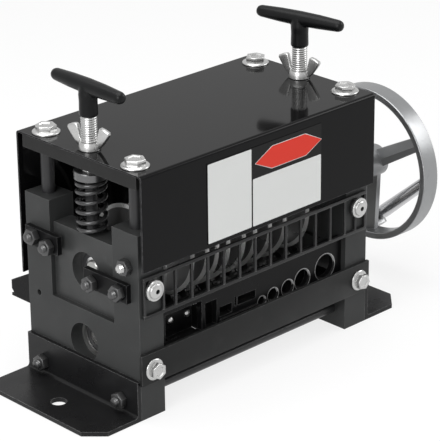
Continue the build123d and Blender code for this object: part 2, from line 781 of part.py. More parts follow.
# --- shafts ---------------------------------------------------------------------------------------
def involute(base, radius):
    """Angle by which an involute has turned where it meets a radius."""
    reach = sqrt((radius / base) ** 2 - 1)
    return reach - atan(reach)


def gear(z, turn):
    """A spur gear with involute teeth; turn sets where its first tooth stands."""
    pitch = gear_module * gear_teeth / 2
    base = pitch * cos(radians(pressure_angle))
    tip, root = pitch + gear_module, pitch - 1.25 * gear_module
    half_tooth = pi / (2 * gear_teeth) - gear_backlash / (4 * pitch)
    flank = [root] + [base + (tip - base) * k / 5 for k in range(6)]
    outline = []
    for n in range(gear_teeth):
        middle = 2 * pi * n / gear_teeth + turn
        sides_of_tooth = []
        for r in flank:
            lean = involute(base, max(r, base)) - involute(base, pitch)
            sides_of_tooth.append((r, half_tooth - lean))
        for r, a in sides_of_tooth:
            outline.append((r * cos(middle - a), r * sin(middle - a)))
        for r, a in reversed(sides_of_tooth):
            outline.append((r * cos(middle + a), r * sin(middle + a)))
    with BuildPart() as wheel:
        with BuildSketch(Plane(origin=(gear_x, 0, z), x_dir=(0, 1, 0), z_dir=(1, 0, 0))):
            with BuildLine():
                Polyline(*outline, close=True)
            make_face()
        extrude(amount=gear_wide)
        rounds([(gear_x + gear_wide, 0, z)], gear_hub_radius, gear_hub_long, (1, 0, 0))
        rounds([(gear_x, 0, z)], journal_radius + fit_gap, gear_wide + gear_hub_long,
               (1, 0, 0), Mode.SUBTRACT)
    return wheel


def shaft(z, shoulder, left_end, right_end):
    """A turned shaft: a thick core between the bearings and a journal at each end."""
    with BuildPart() as bar:
        turned([(0, journal_radius - shaft_chamfer), (shaft_chamfer, journal_radius),
                (-shoulder - left_end, journal_radius), (-shoulder - left_end, core_radius),
                (shoulder - left_end, core_radius), (shoulder - left_end, journal_radius),
                (right_end - left_end - shaft_chamfer, journal_radius),
                (right_end - left_end, journal_radius - shaft_chamfer)],
               (left_end, 0, z), (1, 0, 0), (0, 1, 0))
    return bar


def upper_shaft():
    """The blade shaft, which runs on to the gear and the handwheel."""
    bar = shaft(upper_z, block_inner_x - 1, -(block_inner_x + bearing_wide + shaft_tip), wheel_hub_x[1])
    with BuildPart() as drilled:
        add(bar.part)
        rounds([(wheel_hub_x[1], 0, upper_z)], hub_bolt_radius + fit_gap, hub_bolt_long + 2,
               (-1, 0, 0), Mode.SUBTRACT)
    return drilled


def blades():
    """One bevelled disc over each channel."""
    with BuildPart() as discs:
        for x in channel_x:
            start = (x - blade_thick / 2, 0, upper_z)
            turned([(0, blade_radius - 3 * blade_bevel), (blade_thick / 2 - 0.15, blade_radius),
                    (blade_thick / 2 + 0.15, blade_radius), (blade_thick, blade_radius - 3 * blade_bevel)],
                   start, (1, 0, 0), (0, 1, 0))
            rounds([start], blade_bore, blade_thick, (1, 0, 0), Mode.SUBTRACT)
    return discs


def blade_collars():
    """The collars that keep the blades apart on their shaft."""
    stops = [-(block_inner_x - 2)] + list(channel_x) + [block_inner_x - 2]
    with BuildPart() as collars:
        for n, (a, b) in enumerate(zip(stops, stops[1:])):
            low = a + (blade_thick / 2 if n else 0)
            high = b - (blade_thick / 2 if n < len(stops) - 2 else 0)
            rounds([(low, 0, upper_z)], collar_radius, high - low, (1, 0, 0))
            rounds([(low, 0, upper_z)], blade_bore, high - low, (1, 0, 0), Mode.SUBTRACT)
    return collars


def knurled_outline():
    """Corners of a roller's section, on and between the ridges of its knurl."""
    corners = []
    for n in range(2 * knurl_teeth):
        r = roller_radius - knurl_deep * (n % 2)
        corners.append((r * cos(pi * n / knurl_teeth), r * sin(pi * n / knurl_teeth)))
    return corners


def feed_rollers():
    """Knurled rollers with a hollow groove under each blade."""
    edges = [-(frame_inner_x - 2)]
    edges += [(a + b) / 2 for a, b in zip(channel_x, channel_x[1:])] + [frame_inner_x - 2]
    apart = roller_gap / 2
    with BuildPart() as rollers:
        for x, low, high, deep, half in zip(channel_x, edges, edges[1:], roller_grooves,
                                            groove_half_widths):
            reach = half + 2 * roller_land
            a, b = max(low + apart, x - reach), min(high - apart, x + reach)
            half = min(half, x - a - roller_land / 2, b - x - roller_land / 2)
            with BuildSketch(Plane(origin=(a, 0, lower_z), x_dir=(0, 1, 0), z_dir=(1, 0, 0))) as ring:
                with BuildLine():
                    Polyline(*knurled_outline(), close=True)
                make_face()
                Circle(core_radius + fit_gap, mode=Mode.SUBTRACT)
            extrude(ring.sketch, amount=b - a)
            groove(x, half, deep)
    return rollers


def groove(x, half, deep):
    """Cut a hollow groove round a roller."""
    out = roller_radius + 1
    with BuildSketch(Plane(origin=(x, 0, lower_z), x_dir=(1, 0, 0), z_dir=(0, 1, 0))) as hollow:
        with BuildLine():
            Polyline((-half, -out), (-half * 0.35, -roller_radius + deep),
                     (half * 0.35, -roller_radius + deep), (half, -out), close=True)
        make_face()
    revolve(hollow.sketch, axis=Axis((x, 0, lower_z), (1, 0, 0)), mode=Mode.SUBTRACT)


# --- handwheel ------------------------------------------------------------------------------------
def handwheel():
    """A rim on three ridged spokes and a hub."""
    hub_long = wheel_hub_x[1] - wheel_hub_x[0]
    reach = wheel_radius - rim_thick
    with BuildPart() as wheel:
        with BuildSketch(Plane(origin=(wheel_face_x, 0, upper_z), z_dir=(1, 0, 0))) as ring:
            Circle(wheel_radius)
            Circle(reach, mode=Mode.SUBTRACT)
        extrude(ring.sketch, amount=rim_wide)
        fillet(wheel.edges().filter_by(GeomType.CIRCLE), rim_round)
        rounds([(wheel_hub_x[0], 0, upper_z)], wheel_hub_radius, hub_long, (1, 0, 0))
        for n in range(spoke_count):
            angle = radians(spoke_turn + n * 360 / spoke_count)
            way = Vector(0, -cos(angle), sin(angle))
            spoke = []
            for r, wide in ((wheel_hub_radius - 4, spoke_root_wide), (reach + 1, spoke_tip_wide)):
                spot = way * r + Vector(spoke_back_x, 0, upper_z)
                with BuildSketch(Plane(origin=spot, x_dir=(-1, 0, 0), z_dir=way)) as section:
                    with BuildLine():
                        Polyline((0, -wide / 2), (spoke_thick, -wide / 2),
                                 (spoke_thick + spoke_ridge, wide * 0.1),
                                 (spoke_thick, wide / 2), (0, wide / 2), close=True)
                    make_face()
                spoke.append(section.sketch.faces()[0])
            loft(spoke)
        rounds([(wheel_hub_x[0], 0, upper_z)], journal_radius + fit_gap, hub_long,
               (1, 0, 0), Mode.SUBTRACT)
    return wheel


def hub_washer():
    """The washer on the outside of the hub."""
    seat = (wheel_hub_x[1], 0, upper_z)
    with BuildPart() as ring:
        rounds([seat], washer_radius, washer_thick, (1, 0, 0))
        rounds([seat], hub_bolt_radius + bolt_gap, washer_thick, (1, 0, 0), Mode.SUBTRACT)
    return ring


def hub_bolt():
    """The bolt that holds the handwheel on the shaft."""
    seat = (wheel_hub_x[1] + washer_thick, 0, upper_z)
    with BuildPart() as bolt:
        hexes([seat], hub_bolt_flats, hub_bolt_high, (1, 0, 0))
        rounds([seat], hub_bolt_radius, washer_thick + hub_bolt_long, (-1, 0, 0))
    return bolt


def pivot_plane():
    """Plane at the fold pin: its X axis follows the folded grip, its normal is the pin."""
    return Plane(origin=(pivot_x, pivot_y, pivot_z), x_dir=grip_way, z_dir=fold_way)


def crank_lug():
    """The forked lug on the handwheel that the crank handle folds in."""
    foot_x = pivot_x - wheel_face_x - rim_wide
    inner = arm_half_wide + lug_gap
    outer = inner + lug_ear
    plane = pivot_plane()
    with BuildPart() as lug:
        with BuildSketch(plane.offset(-outer)) as side_view:
            with BuildLine():
                Polyline((-lug_half, -foot_x), (lug_half - 2, -foot_x), (lug_half - 2, 0),
                         (3, 6), (-5, 6), (-lug_half, 1), close=True)
            make_face()
        extrude(side_view.sketch, amount=2 * outer)
        with BuildSketch(plane.offset(-inner)) as mouth:
            with BuildLine():
                Polyline((-arm_round - 1.5, -arm_round - 1), (lug_half + 1, -arm_round - 1),
                         (lug_half + 1, 8), (-arm_round - 1.5, 8), close=True)
            make_face()
        extrude(mouth.sketch, amount=2 * inner, mode=Mode.SUBTRACT)
        with BuildSketch(plane.offset(-outer)) as bore:
            Circle(fold_pin_radius + running_gap)
        extrude(bore.sketch, amount=2 * outer, mode=Mode.SUBTRACT)
    return lug


def fold_pin():
    """The pin across the lug."""
    outer = arm_half_wide + lug_gap + lug_ear
    with BuildPart() as pin:
        with BuildSketch(pivot_plane().offset(-outer)) as disc:
            Circle(fold_pin_radius)
        extrude(disc.sketch, amount=2 * outer)
    return pin


def crank_arm():
    """The eye on the fold pin and the spindle that the grip turns on."""
    plane = pivot_plane()
    length = arm_collar + grip_length + grip_gap * 2
    with BuildPart() as arm:
        with BuildSketch(plane.offset(-arm_half_wide)) as eye:
            Circle(arm_round)
            with Locations((arm_collar / 2, 0)):
                Rectangle(arm_collar, 2 * arm_half_wide)
        extrude(eye.sketch, amount=2 * arm_half_wide)
        rounds([plane.origin], grip_pin_radius, length, grip_way)
        cap_spot = (plane.origin + Vector(*grip_way) * length)
        rounds([cap_spot], grip_cap_radius, grip_cap_high, grip_way)
        with BuildSketch(plane.offset(-arm_half_wide)) as bore:
            Circle(fold_pin_radius + running_gap)
        extrude(bore.sketch, amount=2 * arm_half_wide, mode=Mode.SUBTRACT)
    return arm


def crank_grip():
    """The turned grip, free to spin on its spindle."""
    spot = pivot_plane().origin + Vector(*grip_way) * (arm_collar + grip_gap)
    with BuildPart() as grip:
        turned([(0, grip_radius - 1.2), (1.5, grip_radius - 0.2), (5, grip_radius),
                (grip_length - 6, grip_tip_radius), (grip_length - 2, grip_tip_radius - 0.5),
                (grip_length, grip_tip_radius - 1.6)], spot, grip_way, (1, 0, 0))
        rounds([spot], grip_pin_radius + running_gap, grip_length, grip_way, Mode.SUBTRACT)
    return grip


# --- build everything -----------------------------------------------------------------------------
for side, word in sides:
    save(end_frame(side), f"end_frame_{word}")
    save(foot(side), f"foot_{word}")
    save(bridge(side), f"bridge_{word}")
    save(clip(side, rear_clip_y, rear_clip_z), f"clip_rear_{word}")
    save(clip(side, front_clip_y, front_clip_z), f"clip_front_{word}")
    save(sliding_block(side), f"sliding_block_{word}")
    save(bearing(side, block_inner_x, upper_z), f"upper_bearing_{word}")
    save(bearing(side, frame_inner_x, lower_z), f"lower_bearing_{word}")
    save(spring(side), f"spring_{word}")
    save(cap(side), f"spring_cap_{word}")
    save(pressure_screw(side), f"pressure_screw_{word}")
    save(wing_nut(side), f"wing_nut_{word}")
for (side, word), turn in zip(sides, bar_turns):
    save(handle(side, turn), f"t_handle_{word}")
save(sleeves(), "spacer_sleeves")
save(top_bolts(), "top_bolts")
save(cover(), "cover")
save(label_plate(), "label_plate")
save(guard(), "guard")
save(guard_bolts(), "guard_bolts")
save(front_beam(), "front_beam")
save(beam_bolts(), "beam_bolts")
save(tie_rods(), "tie_rods")
save(feed_plate(), "feed_plate")
save(flat_guide(), "flat_guide")
save(guide_screws(), "guide_screws")
save(outlet(), "outlet")
save(clip_studs(), "studs")
save(clip_nuts(), "nuts")
save(upper_shaft(), "upper_shaft")
save(blades(), "blades")
save(blade_collars(), "blade_collars")
save(gear(upper_z, -pi / 2), "upper_gear")
save(gear(lower_z, pi / 2 + pi / gear_teeth), "lower_gear")
save(shaft(lower_z, frame_inner_x - 1, -(frame_inner_x + bearing_wide + shaft_tip),
           gear_x + gear_wide + gear_hub_long + shaft_tip), "lower_shaft")
save(feed_rollers(), "feed_rollers")
save(handwheel(), "handwheel")
save(hub_washer(), "hub_washer")
save(hub_bolt(), "hub_bolt")
save(crank_lug(), "crank_lug")
save(fold_pin(), "fold_pin")
save(crank_arm(), "crank_arm")
save(crank_grip(), "crank_grip")
print(f"least gap between spring turns: {spring_gap():.2f} mm")
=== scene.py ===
"""Looks of a hand crank wire stripper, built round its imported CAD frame.

Sizes are written in millimetres and turned into metres with MM.
"""

from __future__ import annotations

import logging
import math
from dataclasses import dataclass, field
from enum import Enum
from typing import Callable, Iterable, Sequence

import bmesh
import bpy
from mathutils import Matrix, Vector


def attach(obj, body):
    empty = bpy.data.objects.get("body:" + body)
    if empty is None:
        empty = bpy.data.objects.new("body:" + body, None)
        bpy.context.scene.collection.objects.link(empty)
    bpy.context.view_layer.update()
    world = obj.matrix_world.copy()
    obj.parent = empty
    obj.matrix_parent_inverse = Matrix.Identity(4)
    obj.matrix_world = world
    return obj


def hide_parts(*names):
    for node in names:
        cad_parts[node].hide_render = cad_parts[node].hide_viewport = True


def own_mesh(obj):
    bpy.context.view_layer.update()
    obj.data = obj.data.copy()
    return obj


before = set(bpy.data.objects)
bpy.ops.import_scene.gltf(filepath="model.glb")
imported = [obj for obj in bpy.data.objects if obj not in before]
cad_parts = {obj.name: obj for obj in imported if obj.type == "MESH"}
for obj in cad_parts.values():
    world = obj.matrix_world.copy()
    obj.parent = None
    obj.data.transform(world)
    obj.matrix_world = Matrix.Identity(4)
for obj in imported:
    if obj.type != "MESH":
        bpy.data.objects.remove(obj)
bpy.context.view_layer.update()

LOG = logging.getLogger("wire_stripper")
MM = 0.001

Point = tuple[float, float, float]
Colour = tuple[float, float, float]
Shade = float | Colour
Profile = Sequence[tuple[float, float]]

# Shared places, in millimetres
SCREW_X = 125.5
UPPER_Z = 114.5
LOWER_Z = 49.5
COVER_TOP_Z = 223.5
COVER_FRONT_Y = -78.5
FRAME_FACE_X = 139.0

# Sockets of the Mix node that carry colours
MIX_FIRST, MIX_SECOND, MIX_RESULT = 6, 7, 2
# Kinds of group sockets by how many numbers their value has
SOCKET_KINDS = {1: "Float", 3: "Vector", 4: "Color"}
ORIGIN = (0.0, 0.0, 0.0)
DUST_COLOUR = (0.32, 0.31, 0.29, 1.0)


class Side(Enum):
    """The two ends of the machine."""

    LEFT = -1
    RIGHT = 1

    @property
    def word(self) -> str:
        """The end's name as the CAD nodes have it."""
        return self.name.lower()


class Slot(Enum):
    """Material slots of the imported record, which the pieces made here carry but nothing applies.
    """

    BLACK_STEEL = "blackened_steel"
    BLACK_PAINT = "black_paint"
    LABEL = "label_sheet"
    BRIGHT = "bright_steel"
    BEARING = "bearing_steel"
    SPRING = "spring_steel"
    ZINC = "zinc_plate"
    HANDLE = "handle_plastic"


# --- shader node groups ---------------------------------------------------------------------------
class NodeKit:
    """Adds nodes to a node tree and joins their sockets."""

    def __init__(self, tree: bpy.types.NodeTree) -> None:
        """Takes the tree to add to.

        Args:
            tree: The nodes of a group, a material or the world.
        """
        self.tree = tree

    def feed(self, socket: bpy.types.NodeSocket, value: object) -> None:
        """Links a socket to an output, or sets it to a constant.

        Args:
            socket: The input.
            value: An output socket, or a constant.
        """
        if isinstance(value, bpy.types.NodeSocket):
            self.tree.links.new(value, socket)
        else:
            socket.default_value = value

    def add(self, kind: str, inputs: dict[str | int, object] | None = None,
            **settings: object) -> bpy.types.NodeOutputs:
        """Adds a node.

        Args:
            kind: Its type, without the leading "ShaderNode".
            inputs: What feeds its inputs, by name or number.
            **settings: Its properties, which are set first.

        Returns:
            Its outputs.
        """
        made = self.tree.nodes.new(f"ShaderNode{kind}")
        for name, value in settings.items():
            setattr(made, name, value)
        for key, value in (inputs or {}).items():
            self.feed(made.inputs[key], value)
        return made.outputs

    def math(self, operation: str, first: object, second: object,
             clamp: bool = False) -> bpy.types.NodeSocket:
        """Puts two numbers together.

        Args:
            operation: Blender's name of the operation.
            first: The first number.
            second: The second number.
            clamp: True to keep the result between 0 and 1.

        Returns:
            The result.
        """
        return self.add("Math", {0: first, 1: second}, operation=operation, use_clamp=clamp)[0]

    def mixed(self, share: object, first: object, second: object) -> bpy.types.NodeSocket:
        """Mixes two colours.

        Args:
            share: Share of the second one.
            first: The first colour.
            second: The second colour.

        Returns:
            The mixed colour.
        """
        inputs = {"Factor": share, MIX_FIRST: first, MIX_SECOND: second}
        return self.add("Mix", inputs, data_type="RGBA")[MIX_RESULT]

    def ranged(self, value: object, low: float, high: float, to_low: float = 0.0,
               to_high: float = 1.0) -> bpy.types.NodeSocket:
        """Stretches a range of values to another range.

        Args:
            value: The value.
            low: Where its range begins.
            high: Where its range ends.
            to_low: What the beginning becomes.
            to_high: What the end becomes.

        Returns:
            The new value.
        """
        return self.add("MapRange", {"Value": value, "From Min": low, "From Max": high,
                                     "To Min": to_low, "To Max": to_high})["Result"]


class GroupKit(NodeKit):
    """A shader node group while it is built."""

    def __init__(self, name: str, inputs: dict[str, float | tuple[float, ...]],
                 outputs: dict[str, str]) -> None:
        """Makes an empty group with its sockets.

        Args:
            name: The group's name.
            inputs: Names and default values: a number, a vector of 3 or a colour of 4.
            outputs: Names and kinds.
        """
        super().__init__(bpy.data.node_groups.new(name, "ShaderNodeTree"))
        for key, value in inputs.items():
            size = len(value) if isinstance(value, tuple) else 1
            made = self.tree.interface.new_socket(
                name=key, in_out="INPUT", socket_type=f"NodeSocket{SOCKET_KINDS[size]}")
            made.default_value = value
        for key, kind in outputs.items():
            self.tree.interface.new_socket(name=key, in_out="OUTPUT",
                                           socket_type=f"NodeSocket{kind}")
        self.tree.nodes.new("NodeGroupInput").name = "in"
        self.tree.nodes.new("NodeGroupOutput").name = "out"

    def given(self, name: str) -> bpy.types.NodeSocket:
        """One of the group's inputs.

        Args:
            name: Its name.

        Returns:
            The socket inside the group that puts it out.
        """
        return self.tree.nodes["in"].outputs[name]

    def give(self, name: str, value: bpy.types.NodeSocket) -> None:
        """Feeds one of the group's outputs.

        Args:
            name: Its name.
            value: What it puts out.
        """
        self.feed(self.tree.nodes["out"].inputs[name], value)


def grain_group() -> bpy.types.NodeTree:
    """Fine grain of a surface, stretched along chosen axes.

    Returns:
        A group that puts out a height and a slower variation.
    """
    kit = GroupKit("surface_grain", {
        "Vector": ORIGIN, "Stretch": (1.0, 1.0, 1.0), "Scale": 800.0, "Patch Scale": 30.0,
    }, {"Height": "Float", "Variation": "Float"})
    place = kit.add("VectorMath", {0: kit.given("Vector"), 1: kit.given("Stretch")},
                    operation="MULTIPLY")[0]
    for scale, out in (("Scale", "Height"), ("Patch Scale", "Variation")):
        noise = kit.add("TexNoise", {"Detail": 4.0, "Vector": place, "Scale": kit.given(scale)})
        kit.give(out, noise["Fac"])
    return kit.tree


def mark_group() -> bpy.types.NodeTree:
    """Scattered rubs and specks where a finish is worn.

    Returns:
        A group that puts out the colour with its marks.
    """
    kit = GroupKit("handling_marks", {
        "Vector": ORIGIN, "Color": (0.1, 0.1, 0.1, 1.0), "Mark Color": (0.3, 0.3, 0.3, 1.0),
        "Amount": 0.2, "Scale": 60.0,
    }, {"Color": "Color"})
    noise = kit.add("TexNoise", {"Detail": 9.0, "Roughness": 0.68, "Vector": kit.given("Vector"),
                                 "Scale": kit.given("Scale")})
    share = kit.math("MULTIPLY", kit.ranged(noise["Fac"], 0.56, 0.74), kit.given("Amount"))
    kit.give("Color", kit.mixed(share, kit.given("Color"), kit.given("Mark Color")))
    return kit.tree


def dust_group() -> bpy.types.NodeTree:
    """A thin film of workshop dust on what faces up.

    Returns:
        A group that puts out the dusted colour.
    """
    kit = GroupKit("settled_dust", {
        "Color": (0.1, 0.1, 0.1, 1.0), "Amount": 0.1,
    }, {"Color": "Color"})
    facing = kit.add("SeparateXYZ", {0: kit.add("NewGeometry")["Normal"]})["Z"]
    share = kit.math("MULTIPLY", facing, kit.given("Amount"), clamp=True)
    kit.give("Color", kit.mixed(share, kit.given("Color"), DUST_COLOUR))
    return kit.tree


def edge_group() -> bpy.types.NodeTree:
    """Paler colour along the edges, broken up by a noise: partly a worn, thinner finish and partly
    a painted highlight.

    Returns:
        A group that puts out the colour with its worn edges and painted edge highlights.
    """
    kit = GroupKit("edge_wear_and_highlight", {
        "Vector": ORIGIN, "Color": (0.1, 0.1, 0.1, 1.0), "Edge And Highlight Color": (0.3, 0.3, 0.3, 1.0),
        "Amount": 0.5, "Radius": 0.0006,
    }, {"Color": "Color"})
    soft = kit.add("Bevel", {"Radius": kit.given("Radius")}, samples=6)[0]
    same = kit.add("VectorMath", {0: soft, 1: kit.add("NewGeometry")["Normal"]},
                   operation="DOT_PRODUCT")["Value"]
    noise = kit.add("TexNoise", {"Scale": 190.0, "Detail": 6.0, "Vector": kit.given("Vector")})
    patch = kit.ranged(noise["Fac"], 0.34, 0.56, to_low=0.25)
    share = kit.math("MULTIPLY", kit.ranged(same, 0.99, 0.84), patch)
    share = kit.math("MULTIPLY", share, kit.given("Amount"))
    kit.give("Color", kit.mixed(share, kit.given("Color"), kit.given("Edge And Highlight Color")))
    return kit.tree


def ring_group() -> bpy.types.NodeTree:
    """Turning marks by distance from an axis along X.

    Returns:
        A group that puts out a height that changes with the radius, and a colour that is
        another one outside a chosen radius: a ground edge brightened as a painted highlight.
    """
    kit = GroupKit("turning_marks_and_edge_highlight", {
        "Vector": ORIGIN, "Axis Height": UPPER_Z * MM, "Scale": 2500.0,
        "Color": (0.3, 0.3, 0.3, 1.0), "Edge Radius": 0.0, "Edge And Highlight Color": (0.6, 0.6, 0.6, 1.0),
    }, {"Height": "Float", "Color": "Color"})
    place = kit.add("SeparateXYZ", {0: kit.given("Vector")})
    level = kit.math("SUBTRACT", place["Z"], kit.given("Axis Height"))
    across = kit.add("CombineXYZ", {0: place["Y"], 1: level})[0]
    reach = kit.add("VectorMath", {0: across}, operation="LENGTH")["Value"]
    noise = kit.add("TexNoise", {"Detail": 3.0, "W": reach, "Scale": kit.given("Scale")},
                    noise_dimensions="1D")
    kit.give("Height", noise["Fac"])
    past = kit.math("GREATER_THAN", reach, kit.given("Edge Radius"))
    kit.give("Color", kit.mixed(past, kit.given("Color"), kit.given("Edge And Highlight Color")))
    return kit.tree


class Groups:
    """The shared shader node groups, built once."""

    def __init__(self) -> None:
        """Builds every group."""
        self.grain = grain_group()
        self.marks = mark_group()
        self.dust = dust_group()
        self.edges = edge_group()
        self.rings = ring_group()


GROUPS = Groups()


# --- finishes -------------------------------------------------------------------------------------
def rgba(shade: Shade) -> tuple[float, float, float, float]:
    """A shade as a colour with alpha.

    Args:
        shade: A grey level, or red, green and blue.

    Returns:
        The colour.
    """
    return (*(shade if isinstance(shade, tuple) else (shade,) * 3), 1.0)


@dataclass(frozen=True)
class Finish:
    """One finish of a surface, with its grain, marks and dust."""

    name: str
    colour: Shade
    metallic: float = 0.0
    roughness: float = 0.4
    spread: float = 0.08
    specular: float = 0.5
    grain: float = 900.0
    stretch: Point = (1.0, 1.0, 1.0)
    bump: float = 0.12
    depth: float = 0.02
    patch: float = 30.0
    mark: Shade = 0.3
    marks: float = 0.1
    mark_scale: float = 45.0
    dust: float = 0.0
    # edge and edges: colour and share of the paler edges, partly wear and partly a painted
    # highlight
    edge: Shade = 0.12
    edges: float = 0.0
    edge_size: float = 0.6
    ring_z: float = 0.0
    ring_scale: float = 0.0
    ring_edge: float = 0.0
    ring_edge_and_highlight_colour: Shade = 0.6

    def material(self) -> bpy.types.Material:
        """The finish as a material, made on first use.

        Returns:
            The material with the finish's name.
        """
        found = bpy.data.materials.get(self.name)
        if found:
            return found
        made = bpy.data.materials.new(self.name)
        made.use_nodes = True
        kit = NodeKit(made.node_tree)
        place = kit.add("TexCoord")["Object"]
        grain = kit.add("Group", {
            "Vector": place, "Stretch": self.stretch, "Scale": self.grain,
            "Patch Scale": self.patch}, node_tree=GROUPS.grain)
        height = grain["Height"]
        tint = kit.add("Group", {
            "Vector": place, "Color": rgba(self.colour), "Mark Color": rgba(self.mark),
            "Amount": self.marks, "Scale": self.mark_scale}, node_tree=GROUPS.marks)["Color"]
        if self.ring_scale:
            rings = kit.add("Group", {
                "Vector": place, "Axis Height": self.ring_z * MM, "Scale": self.ring_scale,
                "Edge Radius": self.ring_edge * MM, "Edge And Highlight Color": rgba(self.ring_edge_and_highlight_colour),
                "Color": tint}, node_tree=GROUPS.rings)
            tint, height = rings["Color"], rings["Height"]
        # Paler edges: a worn finish plus a painted highlight along every edge
        if self.edges:
            tint = kit.add("Group", {
                "Vector": place, "Edge And Highlight Color": rgba(self.edge), "Amount": self.edges,
                "Radius": self.edge_size * MM, "Color": tint}, node_tree=GROUPS.edges)["Color"]
        tint = kit.add("Group", {"Amount": self.dust, "Color": tint},
                       node_tree=GROUPS.dust)["Color"]
        rough = kit.ranged(grain["Variation"], 0.3, 0.7, max(self.roughness - self.spread, 0.03),
                           min(self.roughness + self.spread, 1.0))
        bump = kit.add("Bump", {"Strength": self.bump, "Distance": self.depth * MM,
                                "Height": height})
        shader = made.node_tree.nodes["Principled BSDF"]
        for name, value in (("Metallic", self.metallic), ("Specular IOR Level", self.specular),
                            ("Base Color", tint), ("Roughness", rough),
                            ("Normal", bump["Normal"])):
            kit.feed(shader.inputs[name], value)
        return made


COVER_PAINT = Finish(
    "cover_gloss_black", (0.0035, 0.0035, 0.0038), roughness=0.07, spread=0.03, specular=0.11,
    grain=300.0, bump=0.02, marks=0.03, mark=0.02, dust=0.006, edge=(0.16, 0.16, 0.165),
    edges=0.8, edge_size=0.7,
)
FRAME_STEEL = Finish(
    "frame_black_satin", (0.03, 0.031, 0.031), roughness=0.5, spread=0.09, specular=0.22,
    grain=1300.0, bump=0.2, depth=0.03, marks=0.25, mark=(0.06, 0.061, 0.061), dust=0.01,
    edge=0.13, edges=0.75,
)
BLOCK_STEEL = Finish(
    "block_black_satin", (0.03, 0.031, 0.031), roughness=0.44, spread=0.12, specular=0.35,
    bump=0.3, depth=0.04, marks=0.5, mark=(0.065, 0.066, 0.065), mark_scale=70.0, dust=0.01,
    edge=0.15, edges=0.8,
)
BRIDGE_PAINT = Finish(
    "bridge_black_paint", 0.013, specular=0.15, bump=0.15, depth=0.03, marks=0.2, mark=0.05,
    edge=0.11, edges=0.7,
)
FOOT_PAINT = Finish(
    "foot_black_paint", (0.008, 0.008, 0.0085), roughness=0.3, spread=0.1, specular=0.2,
    grain=700.0, bump=0.15, depth=0.03, marks=0.15, mark=0.04, dust=0.006, edge=0.17,
    edges=0.85, edge_size=0.8,
)
BLACK_PAINT = Finish(
    "plate_black_paint", (0.0045, 0.0045, 0.0048), roughness=0.32, specular=0.1, depth=0.03,
    marks=0.12, mark=0.03, dust=0.004, edge=0.13, edges=0.8,
)
BEAM_PAINT = Finish(
    "beam_black_satin", (0.013, 0.0133, 0.0133), roughness=0.42, spread=0.1, specular=0.16,
    bump=0.18, depth=0.03, marks=0.2, mark=0.045, dust=0.004, edge=0.15, edges=0.85,
    edge_size=0.7,
)
GUARD_PAINT = Finish(
    "guard_black_paint", (0.014, 0.014, 0.0145), roughness=0.34, specular=0.25, depth=0.03,
    marks=0.15, mark=0.05, dust=0.004, edge=0.17, edges=0.9,
)
ROD_STEEL = Finish(
    "rod_black_steel", (0.018, 0.018, 0.019), roughness=0.34, specular=0.4,
    stretch=(1.0, 1.0, 0.1), marks=0.2, mark=0.07,
)
SEAT_STEEL = Finish(
    "spring_seat_steel", (0.15, 0.15, 0.152), metallic=0.9, roughness=0.3, marks=0.3, mark=0.14,
    edge=0.5, edges=0.6, edge_size=0.5,
)
BARE_STEEL = Finish(
    "bare_turned_steel", (0.4, 0.4, 0.39), metallic=0.9, roughness=0.32,
    stretch=(0.08, 1.0, 1.0), marks=0.4, mark=(0.1, 0.1, 0.09),
)
BORE_STEEL = Finish(
    "bored_bare_steel", (0.5, 0.5, 0.49), metallic=1.0, roughness=0.38, spread=0.1, grain=700.0,
    stretch=(3.0, 0.3, 0.3), bump=0.4, depth=0.05, marks=0.5, mark=0.12, mark_scale=160.0,
)
# Pale rims stand for bare worn steel plus a painted highlight on the channel edges
RIM_STEEL_AND_HIGHLIGHT = Finish(
    "channel_edge_steel_and_highlight", 0.5, metallic=0.6, roughness=0.36, spread=0.1, grain=1200.0,
    marks=0.6, mark=0.04, mark_scale=110.0,
)
# The ring beyond ring_edge is the ground edge, its colour raised to 0.95 as a painted highlight
BLADE_STEEL = Finish(
    "blade_ground_steel", 0.2, metallic=0.6, roughness=0.3, bump=0.2, marks=0.25,
    mark=(0.3, 0.29, 0.28), ring_z=UPPER_Z, ring_scale=2200.0, ring_edge=42.5,
    ring_edge_and_highlight_colour=(0.95, 0.95, 0.94),
)
ROLLER_STEEL = Finish(
    "roller_hard_steel", 0.1, metallic=1.0, roughness=0.36, spread=0.1, grain=1200.0, bump=0.15,
    marks=0.4, mark=(0.04, 0.04, 0.038), edge=0.4, edges=0.6, edge_size=0.3,
)
GEAR_STEEL = Finish(
    "gear_oiled_steel", (0.3, 0.295, 0.285), metallic=1.0, roughness=0.34, spread=0.12,
    grain=1100.0, marks=0.5, mark=(0.09, 0.08, 0.07), edge=(0.6, 0.6, 0.58), edges=0.7,
    edge_size=0.35,
)
BEARING_STEEL = Finish(
    "bearing_ring_steel", 0.6, metallic=1.0, roughness=0.2, spread=0.05, grain=1100.0,
    bump=0.06, mark=0.3,
)
SHIELD_STEEL = Finish(
    "bearing_shield", (0.05, 0.05, 0.052), metallic=0.6, grain=1100.0, bump=0.08, marks=0.2,
    mark=0.12,
)
SPRING_STEEL = Finish(
    "spring_black_wire", (0.035, 0.035, 0.036), metallic=0.35, roughness=0.17, spread=0.07,
    specular=0.8, bump=0.06, marks=0.2, mark=(0.07, 0.068, 0.064),
)
ZINC = Finish(
    "zinc_plated", (0.52, 0.52, 0.515), metallic=0.95, roughness=0.28, patch=90.0, grain=520.0,
    bump=0.05, marks=0.35, mark=(0.3, 0.3, 0.295), mark_scale=110.0, edge=0.85, edges=0.5,
    edge_size=0.3,
)
DARK_ZINC = Finish(
    "nut_black_oxide", (0.085, 0.085, 0.086), metallic=0.75, roughness=0.3, spread=0.1,
    grain=700.0, bump=0.06, marks=0.4, mark=0.12, mark_scale=130.0, edge=0.45, edges=0.7,
    edge_size=0.4,
)
